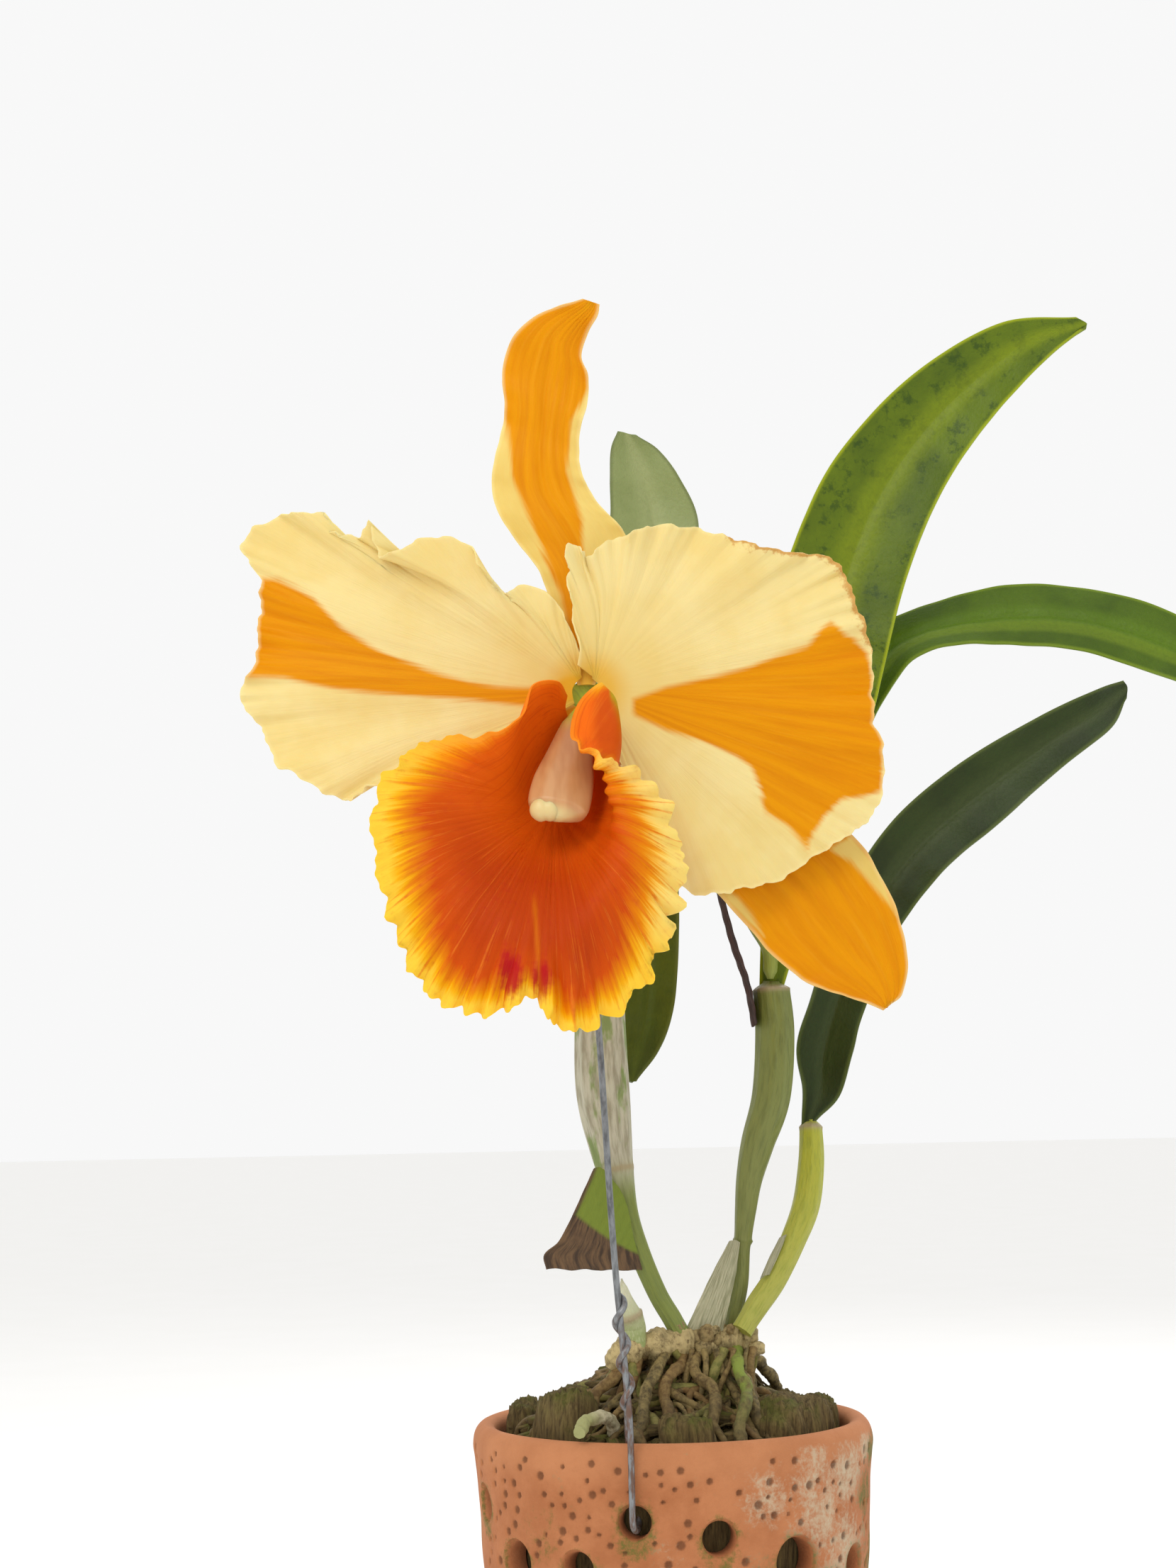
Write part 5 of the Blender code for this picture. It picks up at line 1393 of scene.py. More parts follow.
@dataclass
class Column:
    """The column: a broad waxy club, with its anther cap under the tip."""

    stations: Sequence[tuple[float, float, float, float, float]]
    rings: int = 90
    sides: int = 56
    foot_rings: int = 20
    tip_rings: int = 8
    cap_place: Point = (-9.6, -29.3, 17.8)
    cap_size: Point = (3.6, 2.4, 2.9)

    def build(self) -> Piece:
        """Make the column in place of its solid."""
        places = bloom([station[:3] for station in self.stations])
        points = [(*place, *station[3:]) for place, station in zip(places, self.stations)]
        line = smooth_line(points, self.rings)
        line[:, 3:] = np.maximum(line[:, 3:], 0.3)
        line[-self.tip_rings:, 3:] *= np.sqrt(np.linspace(1.0, 0.12, self.tip_rings))[:, None]
        line[:self.foot_rings, 3:] *= np.sqrt(np.linspace(0.02, 1.0, self.foot_rings))[:, None]
        cluster = Cluster()
        points, faces, marks = Tube(line[:, :4], self.sides, line[:, 4], self.ridges).shell()
        cluster.add(points, faces, {**marks, "cap": rise(marks["along"], 0.93, 0.985)})
        cluster.add(*self.cap())
        return settle(cluster.piece("column_with_cap", ColumnFinish().material()), "column", "column")

    @staticmethod
    def ridges(share: np.ndarray, turns: np.ndarray) -> np.ndarray:
        """Return the club's shallow ridges, as a share of its radius."""
        return 0.035 * np.sin(2.0 * turns + 0.6) + 0.02 * np.sin(7.0 * turns + 3.0 * share)

    def cap(self) -> Shell:
        """Return the anther cap: a small rounded lump with a furrow down its middle."""
        points, faces = globe(22, 30)
        furrow = 1.0 - 0.16 * np.exp(-((points[:, 0] / 0.22) ** 2))
        points = points * np.array(self.cap_size) * furrow[:, None]
        points = points + np.array(bloom([self.cap_place])[0])
        ones, zeros = np.ones(len(points)), np.zeros(len(points))
        return points, faces, {"along": ones, "turn": zeros, "ring": zeros, "cap": ones}


def globe(rings: int, sides: int) -> tuple[np.ndarray, Faces]:
    """Return the points and faces of a closed unit ball.

    Args:
        rings: rings of points from bottom to top.
        sides: points in each ring.
    """
    tilts = np.linspace(-0.5 * math.pi * 0.985, 0.5 * math.pi * 0.985, rings)
    turns = 2.0 * math.pi * np.arange(sides) / sides
    points = np.array([
        (math.cos(tilt) * math.cos(turn), math.cos(tilt) * math.sin(turn), math.sin(tilt))
        for tilt in tilts for turn in turns
    ])
    return points, ring_faces(rings, sides)


@dataclass
class Stem:
    """A stem with ribs along it and joints across it: a pseudobulb, a shoot or the flower's stalk."""

    name: str
    stations: Sequence[tuple[float, float, float, float]]
    finish: StemFinish
    rings: int = 110
    sides: int = 40
    ribs: int = 9
    rib_depth: float = 0.045
    joints: Sequence[float] = ()
    seed: float = 0.0
    sink: float = 3.5

    def furrows(self, share: np.ndarray, turns: np.ndarray) -> np.ndarray:
        """Return the ribs' height as a share of the radius."""
        fine = np.sin(self.ribs * turns + 1.7 * np.sin(3.0 * share + self.seed))
        slow = np.sin(4.0 * turns + 5.0 * share + self.seed)
        uneven = np.sin(2.0 * turns - 9.0 * share + 2.0 * self.seed)
        return self.rib_depth * (0.6 * fine + 0.5 * slow) + 0.025 * uneven

    def build(self, slot: str, node: str) -> Piece:
        """Make the stem in place of its solid."""
        foot, above = np.array(self.stations[-1]), np.array(self.stations[-2])
        step = (foot - above)[:3] / np.linalg.norm((foot - above)[:3])
        line = smooth_line([*self.stations, (*(foot[:3] + self.sink * step), foot[3])], self.rings)
        travelled = arc_lengths(line)
        line[:, 3] *= np.sqrt(np.clip(travelled / 2.2, 0.2, 1.0))
        ringed = np.zeros(self.rings)
        for height in self.joints:
            near = np.exp(-(((line[:, 2] - height) / 0.8) ** 2))
            line[:, 3] += 0.16 * near
            ringed = np.maximum(ringed, near)
        points, faces, marks = Tube(line, self.sides, None, self.furrows).shell()
        marks["ring"] = np.repeat(ringed, self.sides)
        return settle(build_mesh(self.name, points, faces, marks, self.finish.material()), slot, node)


@dataclass
class Leaf:
    """A stiff leaf through its left edge, midrib and right edge, keeled along the midrib."""

    name: str
    lines: Sequence[Sequence[Point]]
    finish: LeafFinish
    seed: float
    along: int = 136
    across: int = 33
    thickness: float = 1.25
    edge_thickness: float = 0.55
    groove: float = 0.75
    wave: float = 0.5
    sink: float = 2.5

    def build(self, slot: str, node: str) -> Piece:
        """Make the leaf in place of its solid."""
        rooted = []
        for line in self.lines:
            base, above = np.array(line[0]), np.array(line[1])
            rooted.append([tuple(base - self.sink * (above - base) / np.linalg.norm(above - base)), *line])
        sheet = Sheet.through(rooted, self.along, self.across)
        across, along = sheet.shares()
        length, width = sheet.lengths(), sheet.widths()
        sideways = 2.0 * across - 1.0
        rim = np.minimum(across, 1.0 - across) * width
        facing = sheet.normals()[:, :, 1].mean()
        front = -1.0 if facing > 0.0 else 1.0
        middle = np.exp(-((sideways * width / 2.6) ** 2))
        middle = middle * rise(along, 0.02, 0.12) * rise(-along, -0.97, -0.8)
        wave = self.wave * hum(length + 9.0 * np.sign(sideways), 31.0, self.seed) * np.abs(sideways) ** 2
        wave += 0.10 * hum(length, 11.0, self.seed + 1.0)
        ends = rise(along, 0.0, 0.1)
        sheet.push(wave * ends - self.groove * middle * front)
        sheet.marks = {"across": sideways, "along": length, "rim": rim}
        thickness = between(self.edge_thickness, self.thickness, 1.0 - np.abs(sideways) ** 4)
        if front < 0.0:
            sheet.grid = sheet.grid[:, ::-1]
            sheet.marks = {key: values[:, ::-1] for key, values in sheet.marks.items()}
            thickness = thickness[:, ::-1]
        return settle(sheet.solid(self.name, thickness, self.finish.material()), slot, node)


@dataclass
class DrySheath:
    """A dry sheath or the remains of a cut leaf, crinkled and torn at its ends."""

    name: str
    lines: Sequence[Sequence[Point]]
    finish: DryFinish
    seed: float
    along: int = 70
    across: int = 26
    thickness: float = 0.55
    crinkle: float = 0.18
    tear: float = 0.0
    sink: float = 0.0

    def build(self, slot: str, node: str) -> Piece:
        """Make the sheath in place of its solid."""
        lines = [list(line) for line in self.lines]
        for line in lines if self.sink > 0.0 else []:
            step = np.array(line[-1]) - np.array(line[-2])
            line.append(tuple(np.array(line[-1]) + self.sink * step / np.linalg.norm(step)))
        sheet = Sheet.through(lines, self.along, self.across)
        across, along = sheet.shares()
        length, width = sheet.lengths(), sheet.widths()
        crinkle = self.crinkle * hum(across * width, 2.4, self.seed)
        crinkle += 0.5 * self.crinkle * hum(length + across * width, 5.0, self.seed + 1.0)
        sheet.push(crinkle)
        step = unit(sheet.grid[:, -1] - sheet.grid[:, -4])
        ragged = self.tear * hum(across * width, 7.3, self.seed + 2.0)
        sheet.grid = sheet.grid + step[:, None] * (ragged * along**6)[..., None]
        left = across * width
        below = (along - 0.42 - 0.42 * across) * length[:, -1:]
        sheet.marks = {
            "across": 2.0 * across - 1.0,
            "along": length,
            "dead": np.maximum(0.9 - left, below),
        }
        taper = self.thickness * (0.55 + 0.45 * np.sin(math.pi * across))
        return settle(sheet.solid(self.name, taper, self.finish.material()), slot, node)


@dataclass
class Pot:
    """The turned clay pot, with its wall holes, its drain holes and the pits in its face."""

    height: float = 95.0
    lip_radius: float = 51.0
    top_radius: float = 50.0
    foot_radius: float = 45.0
    wall: float = 6.0
    floor: float = 6.0
    segments: int = 448
    pit_count: int = 900
    pit_radius: tuple[float, float] = (0.65, 1.25)
    pit_depth: float = 0.85
    pit_seed: int = 23
    pit_spacing: float = 2.7
    lip_start: float = 80.0
    unrolled_radius: float = 48.0
    weathered_radius: float = 49.0
    back_holes: int = 8
    back_start: float = 62.0
    back_step: float = 26.0
    back_heights: tuple[float, float] = (62.0, 75.0)
    back_diameter: float = 9.0
    drains: int = 3
    drain_reach: float = 19.0
    drain_radius: float = 4.5
    front_holes: tuple[Point, ...] = (
        (-72.0, 77.0, 9.0), (-53.0, 65.0, 10.5), (-30.0, 65.5, 8.5), (-12.5, 77.0, 8.0), (10.8, 73.0, 8.5),
        (34.5, 66.0, 11.5),
    )
    chalk_places: Sequence[Blotch] = (
        (26.0, 82.0, 9.0, 0.75), (40.0, 86.0, 9.0, 0.8), (44.0, 76.0, 12.0, 0.9), (56.0, 84.0, 10.0, 1.0),
        (56.0, 66.0, 13.0, 0.9), (38.0, 58.0, 10.0, 0.6), (20.0, 64.0, 7.0, 0.4), (66.0, 50.0, 12.0, 0.6),
        (68.0, 90.0, 7.0, 0.9), (120.0, 60.0, 18.0, 0.5), (-130.0, 45.0, 16.0, 0.45),
        (170.0, 30.0, 20.0, 0.5), (-60.0, 30.0, 12.0, 0.3), (-4.0, 70.0, 6.0, 0.35),
    )
    damp_places: Sequence[Blotch] = (
        (70.0, 78.0, 8.0, 0.9), (77.0, 88.0, 7.0, 1.0), (80.0, 62.0, 12.0, 0.9), (74.0, 44.0, 10.0, 0.6),
        (-40.0, 72.0, 8.0, 0.55), (24.0, 62.0, 8.0, 0.6), (48.0, 58.0, 8.0, 0.6), (-86.0, 70.0, 9.0, 0.6),
        (150.0, 66.0, 14.0, 0.6), (-150.0, 70.0, 12.0, 0.5), (100.0, 30.0, 14.0, 0.5),
    )

    def holes(self) -> list[Point]:
        """Return every hole in the wall as (azimuth from the front, height, diameter)."""
        back = [
            (self.back_start + self.back_step * index, self.back_heights[index % 2], self.back_diameter)
            for index in range(self.back_holes)
        ]
        return list(self.front_holes) + back

    def face(self, height: np.ndarray | float) -> np.ndarray | float:
        """Return the radius of the wall's outer face at a height."""
        return self.foot_radius + (self.top_radius - self.foot_radius) * height / self.lip_start

    def profile(self) -> np.ndarray:
        """Return the pot's outline as (radius, height), closely sampled, from the foot to the floor."""
        inner_top = self.lip_radius - self.wall
        inner_foot = self.foot_radius - self.wall
        outer = [(self.foot_radius - 1.2, 0.0), (self.foot_radius - 0.3, 0.35), (self.foot_radius, 1.1)]
        low, high = 1.8, self.lip_start
        for height in np.arange(low, high, 0.76):
            share = (height - 1.0) / (high - 1.0)
            bulge = 0.12 * math.sin(math.pi * share)
            outer.append((self.foot_radius + (self.top_radius - self.foot_radius) * share + bulge, height))
        edge, top = self.lip_radius, self.height
        lip = [
            (self.top_radius, self.lip_start), (self.top_radius + 0.35, 84.0), (edge - 0.4, 87.0),
            (edge - 0.1, 89.8), (edge - 0.5, top - 2.4), (edge - 1.6, top - 0.7), (edge - 3.0, top),
            (inner_top + 1.2, top - 0.5), (inner_top + 0.2, 93.3), (inner_top, 91.6),
        ]
        rounded = smooth_line([(radius, height, 0.0) for radius, height in lip], 36)[:, :2]
        slope = inner_top - inner_foot
        inner = [(inner_foot + slope * (z - 8.0) / 83.0, z) for z in np.linspace(90.0, 8.0, 42)]
        floor = [(inner_foot - 0.8, self.floor + 0.5)]
        floor += [(radius, self.floor) for radius in (inner_foot - 2.0, 30.0, 12.0, 0.6)]
        return np.vstack([np.array([(0.6, 0.0), (22.0, 0.0)]), outer, rounded, inner, floor])

    def body(self) -> Piece:
        """Return the pot without its finish, with its holes cut."""
        profile = self.profile()
        turns = 2.0 * math.pi * np.arange(self.segments) / self.segments
        radius, height = profile[:, :1], np.repeat(profile[:, 1:2], self.segments, axis=1)
        turned = np.stack([radius * np.cos(turns)[None], radius * np.sin(turns)[None], height], axis=-1)
        faces = ring_faces(len(profile), self.segments)
        blank = bpy.data.materials.new("blank")
        pot = build_mesh("clay_pot", turned.reshape(-1, 3), faces, {}, blank)
        cutters = [self.wall_cutter(*hole, blank) for hole in self.holes()]
        cutters += [self.drain_cutter(index, blank) for index in range(self.drains)]
        carve(pot, cutters)
        return pot

    def wall_cutter(self, azimuth: float, height: float, diameter: float, blank: bpy.types.Material) -> Piece:
        """Return a flared bar that crosses the wall, a little wider at the wall's outer face."""
        turn = math.radians(azimuth)
        outward = np.array([math.sin(turn), -math.cos(turn), 0.0])
        flare = ((-14.0, -0.25), (-1.6, -0.25), (-0.7, 0.0), (0.1, 0.55), (5.0, 2.0))
        face = self.face(height)
        line = np.array([[*(outward * (face + past)), diameter / 2.0 + wider] for past, wider in flare])
        line[:, 2] = height
        points, faces, _ = Tube(line, sides=36).shell()
        return build_mesh("hole", points, faces, {}, blank)

    def drain_cutter(self, index: int, blank: bpy.types.Material) -> Piece:
        """Return a round bar through the pot's floor."""
        turn = 2.0 * math.pi * index / self.drains
        x, y = self.drain_reach * math.sin(turn), self.drain_reach * math.cos(turn)
        line = [[x, y, height, self.drain_radius] for height in (-2.0, self.floor / 2.0, self.floor * 1.5)]
        points, faces, _ = Tube(np.array(line), sides=32).shell()
        return build_mesh("drain", points, faces, {}, blank)

    def pits(self) -> np.ndarray:
        """Scatter the pits as (azimuth in radians, height, radius), apart from each other and the holes."""
        draw = random.Random(self.pit_seed)
        placed: list[tuple[float, float, float]] = []
        while len(placed) < self.pit_count:
            azimuth, height = draw.uniform(-math.pi, math.pi), draw.uniform(3.0, 90.5)
            radius = between(*self.pit_radius, draw.random() ** 1.6)
            clear = all(self.apart(azimuth, height, *other[:2]) > self.pit_spacing for other in placed)
            if clear and all(
                self.apart(azimuth, height, math.radians(turn), level) > diameter / 2.0 + 2.4
                for turn, level, diameter in self.holes()
            ):
                placed.append((azimuth, height, radius))
        return np.array(placed)

    def apart(self, azimuth: float, height: float, other_azimuth: float, other_height: float) -> float:
        """Return the distance over the pot's face between two places on it."""
        return math.hypot(turn_between(azimuth, other_azimuth) * self.unrolled_radius, height - other_height)

    def build(self) -> Piece:
        """Make the pot in place of its solid, with its pits pressed in, its weathering marked, and marks for
        the painted shade in its pits and inside its mouth and the painted highlight on its rim.
        """
        pot = self.body()
        count = len(pot.data.vertices)
        points = np.empty(count * 3)
        pot.data.vertices.foreach_get("co", points)
        points = points.reshape(-1, 3) / MM
        radius = np.hypot(points[:, 0], points[:, 1])
        azimuth = np.arctan2(points[:, 0], -points[:, 1])
        height = points[:, 2]
        face = self.face(height)
        outer = rise(radius, face - 1.4, face - 0.5) * rise(-height, -93.5, -92.0)
        pit = np.full(count, 9.0)
        for pit_azimuth, pit_height, pit_radius in self.pits():
            away = np.hypot(turn_between(azimuth, pit_azimuth) * radius, height - pit_height)
            pit = np.minimum(pit, away / pit_radius)
        sunk = self.pit_depth * outer * rise(-pit, -1.25, -0.3)
        uneven = 0.16 * np.sin(3.0 * azimuth + 0.05 * height) + 0.09 * np.sin(height / 3.7 + 2.0 * azimuth)
        uneven += 0.06 * np.sin(11.0 * azimuth + height / 2.1)
        moved = radius - sunk + uneven * rise(height, 2.0, 10.0)
        points[:, :2] *= (moved / np.maximum(radius, 1e-6))[:, None]
        pot.data.vertices.foreach_set("co", (points * MM).ravel())
        moss = self.hole_moss(azimuth, height)
        # pit, lip and inside also carry painted light: shade in the pits, a highlight on the rim and shade
        # inside the mouth
        marks = {
            "pit": np.where(outer > 0.5, pit, 9.0),
            "chalk": self.blotches(azimuth, height, self.chalk_places) * outer,
            "damp": np.maximum(self.blotches(azimuth, height, self.damp_places), moss) * outer,
            "lip": rise(height, 84.0, 90.0) * rise(radius, 40.0, 44.0),
            "inside": rise(-radius, -face + 1.2, -face + 3.0) * rise(-height, -93.0, -89.0),
        }
        keep_marks(pot.data, marks)
        pot.data.shade_smooth()
        pot.data.set_sharp_from_angle(angle=math.radians(62.0))
        pot.data.materials.clear()
        pot.data.materials.append(ClayFinish().material())
        return settle(pot, "terracotta", "terracotta_pot")

    def hole_moss(self, azimuth: np.ndarray, height: np.ndarray) -> np.ndarray:
        """Return how green the clay is around its holes, mostly below them."""
        green = np.zeros_like(height)
        for hole_azimuth, hole_height, diameter in self.holes():
            sideways = turn_between(azimuth, math.radians(hole_azimuth)) * self.weathered_radius
            above = height - hole_height
            distance = np.hypot(sideways, np.where(above > 0.0, above, 0.55 * np.maximum(-above, 0.0)))
            green = np.maximum(green, np.exp(-np.maximum(distance - diameter / 2.0, 0.0) / 2.2))
        return 0.75 * green

    def blotches(self, azimuth: np.ndarray, height: np.ndarray, places: Sequence[Blotch]) -> np.ndarray:
        """Return soft blotches at places of (azimuth in degrees, height, size, strength)."""
        total = np.zeros_like(height)
        for place_azimuth, place_height, size, strength in places:
            sideways = turn_between(azimuth, math.radians(place_azimuth)) * self.weathered_radius
            distance = np.hypot(sideways, height - place_height)
            total = np.maximum(total, strength * np.exp(-((distance / size) ** 2)))
        return total


def carve(solid: Piece, cutters: Sequence[Piece]) -> None:
    """Cut several closed pieces out of a solid at once, and remove them."""
    group = bpy.data.collections.new(solid.name + "_cutters")
    bpy.context.scene.collection.children.link(group)
    for cutter in cutters:
        bpy.context.scene.collection.objects.unlink(cutter)
        group.objects.link(cutter)
    boolean = solid.modifiers.new("carve", "BOOLEAN")
    boolean.operation = "DIFFERENCE"
    boolean.operand_type = "COLLECTION"
    boolean.collection = group
    boolean.solver = "MANIFOLD"
    bpy.context.view_layer.update()
    mesh = bpy.data.meshes.new_from_object(solid.evaluated_get(bpy.context.evaluated_depsgraph_get()))
    solid.modifiers.clear()
    solid.data = mesh
    for cutter in cutters:
        bpy.data.objects.remove(cutter, do_unlink=True)
    bpy.data.collections.remove(group)


@dataclass(frozen=True)
class Block:
    """One piece of husk: where it is, its size, how it is turned, and how dark it is."""

    centre: Point
    size: Point
    turn: float
    lean: float
    tint: float


@dataclass
class Medium:
    """The growing medium: a mound under loose husk chips, with fibrous blocks round its edge."""

    finish: FibreFinish = FibreFinish("coconut_husk")
    seed: int = 11
    chips: int = 170
    fibres: int = 150
    chip_reach: float = 41.0
    fibre_reach: float = 42.5
    mound_reach: float = 43.4
    mound_rings: int = 64
    mound_sides: int = 200
    mound: Sequence[Place] = (
        (0.5, 111.0), (9.0, 109.0), (19.0, 103.5), (28.0, 98.0), (36.0, 93.5), (40.0, 91.0), (43.6, 89.0),
    )
    blocks: Sequence[Block] = (
        Block((-26.5, -24.5, 94.0), (16.0, 13.0, 24.0), -48.0, 0.03, 0.25),
        Block((2.5, -37.0, 91.5), (14.0, 8.0, 17.0), 4.0, -0.05, 0.15),
        Block((28.0, -19.5, 91.0), (27.0, 17.0, 22.5), 52.0, 0.0, 0.1),
        Block((38.5, 6.0, 90.0), (13.0, 9.0, 18.0), 99.0, 0.05, 0.35),
        Block((30.0, 24.0, 90.0), (13.0, 9.0, 17.0), 129.0, 0.0, 0.3),
        Block((12.0, 36.5, 90.0), (14.0, 9.0, 17.0), 162.0, 0.05, 0.2),
        Block((-9.0, 37.0, 90.5), (13.0, 8.0, 18.0), 194.0, 0.0, 0.5),
        Block((-27.0, 27.0, 90.0), (12.0, 9.0, 16.0), 225.0, 0.0, 0.2),
        Block((-38.0, 9.0, 90.5), (14.0, 8.0, 17.0), 257.0, 0.0, 0.4),
    )

    def height(self, radius: float) -> float:
        """Return the mound's height at a distance from the pot's axis."""
        reach, heights = zip(*self.mound)
        return float(np.interp(radius, reach, heights))

    def base(self) -> Shell:
        """Return the lumpy mound as a closed shell down to the pot's floor."""
        sides = self.mound_sides
        turns = 2.0 * math.pi * np.arange(sides) / sides
        rings = []
        for radius in np.linspace(0.5, self.mound_reach, self.mound_rings):
            x, y = radius * np.cos(turns), radius * np.sin(turns)
            lumps = 1.3 * np.sin(x / 3.1 + 1.0) * np.sin(y / 2.7)
            lumps = lumps + 0.8 * np.sin(x / 1.3 + y / 1.7) * np.sin(y / 1.1 - x / 2.9)
            fade = 1.0 if radius < 40.0 else 0.3
            rings.append(np.stack([x, y, self.height(radius) + lumps * fade - 0.6], axis=-1))
        for radius, height in ((43.6, 80.0), (38.9, 7.0), (20.0, 6.5), (0.5, 6.5)):
            x, y = radius * np.cos(turns), radius * np.sin(turns)
            rings.append(np.stack([x, y, np.full(sides, height)], axis=-1))
        points = np.array(rings).reshape(-1, 3)
        return points, ring_faces(len(rings), sides), self.grains(points, points, 0.7)

    @staticmethod
    def grains(points: np.ndarray, local: np.ndarray, tint: float) -> Marks:
        """Return the fibre marks: places squeezed along the grain, and the shell's own tint."""
        return {
            "grain_a": local[:, 0],
            "grain_b": local[:, 1],
            "grain_c": local[:, 2] * 0.12,
            "tint": np.full(len(points), tint),
        }

    def chunk(self, block: Block, draw: random.Random, fine: int) -> Shell:
        """Return one husk block as a rough box with frayed ends.

        Args:
            block: the block's place and size.
            draw: the source of its unevenness.
            fine: cells along each side of the box.
        """
        work = bmesh.new()
        bmesh.ops.create_cube(work, size=2.0)
        bmesh.ops.subdivide_edges(work, edges=work.edges[:], cuts=fine, use_grid_fill=True)
        cube = np.array([vertex.co[:] for vertex in work.verts])
        faces = [tuple(vertex.index for vertex in face.verts) for face in work.faces]
        work.free()
        rounded = cube * (1.0 - 0.3 * (np.sum(cube**2, axis=1, keepdims=True) - 1.0) / 2.0)
        local = rounded * np.array(block.size) / 2.0
        phase = draw.uniform(0.0, 6.0)
        strands = np.sin(local[:, 0] * 2.3 + phase) * np.sin(local[:, 1] * 2.9 + 2.0 * phase)
        bumps = np.sin(local[:, 2] / 1.9 + 3.0 * phase + local[:, 0]) * 0.35 + 0.45 * strands
        local[:, :2] *= 1.0 + bumps[:, None] * 0.10
        local[:, 2] += strands * 0.7 * (np.abs(cube[:, 2]) > 0.9) + 0.3 * np.sin(local[:, 0] / 1.4 + phase)
        swell = np.sin(local[:, 0] / 2.9 + phase)
        local[:, 2] += 0.05 * block.size[2] * swell * np.sin(local[:, 1] / 2.5 + 2.0 * phase)
        turn, lean = math.radians(block.turn), block.lean
        leaned = local[:, 0] + lean * local[:, 2]
        x = block.centre[0] + leaned * math.cos(turn) - local[:, 1] * math.sin(turn)
        y = block.centre[1] + leaned * math.sin(turn) + local[:, 1] * math.cos(turn)
        points = np.stack([x, y, block.centre[2] + local[:, 2]], axis=-1)
        return points, faces, self.grains(points, local + phase * 7.0, block.tint)

    def chip(self, draw: random.Random) -> Shell:
        """Return one loose chip lying on the mound at a random lean."""
        turn = draw.uniform(0.0, 2.0 * math.pi)
        radius = self.chip_reach * math.sqrt(draw.uniform(0.02, 0.95))
        length = draw.uniform(5.0, 11.0)
        size = (draw.uniform(2.2, 4.6), draw.uniform(1.6, 3.6), length)
        block = Block((0.0, 0.0, 0.0), size, 0.0, draw.uniform(-0.3, 0.3), draw.uniform(0.0, 0.9))
        points, faces, marks = self.chunk(block, draw, fine=3)
        tilt = Matrix.Rotation(draw.uniform(0.9, 1.9), 3, "X")
        spin = Matrix.Rotation(draw.uniform(0.0, 2.0 * math.pi), 3, "Z")
        points = points @ np.array(spin @ tilt).T
        level = self.height(radius) + draw.uniform(-0.6, 0.9)
        points += np.array([radius * math.sin(turn), -radius * math.cos(turn), level])
        return points, faces, marks

    def fibre(self, draw: random.Random) -> Shell:
        """Return one loose strand of husk fibre over the mound."""
        turn = draw.uniform(0.0, 2.0 * math.pi)
        radius = draw.uniform(8.0, self.chip_reach)
        heading = draw.uniform(0.0, 2.0 * math.pi)
        place = np.array([radius * math.sin(turn), -radius * math.cos(turn)])
        route = []
        for _ in range(5):
            reach = min(float(np.hypot(*place)), self.fibre_reach)
            place = place * reach / max(float(np.hypot(*place)), 1e-6)
            route.append((*place, self.height(reach) + draw.uniform(0.9, 3.0), draw.uniform(0.16, 0.32)))
            heading += draw.uniform(-0.9, 0.9)
            place = place + 3.2 * np.array([math.cos(heading), math.sin(heading)])
        points, faces, _ = Tube(smooth_line(route, 12), sides=5).shell()
        return points, faces, self.grains(points, points, draw.uniform(0.0, 0.5))

    def build(self) -> Piece:
        """Make the medium in place of its solid."""
        draw = random.Random(self.seed)
        cluster = Cluster()
        cluster.add(*self.base())
        for block in self.blocks:
            cluster.add(*self.chunk(block, draw, fine=13))
        for _ in range(self.chips):
            cluster.add(*self.chip(draw))
        for _ in range(self.fibres):
            cluster.add(*self.fibre(draw))
        medium = cluster.piece("husk_medium", self.finish.material(), 70.0)
        return settle(medium, "coconut_husk", "growing_medium")


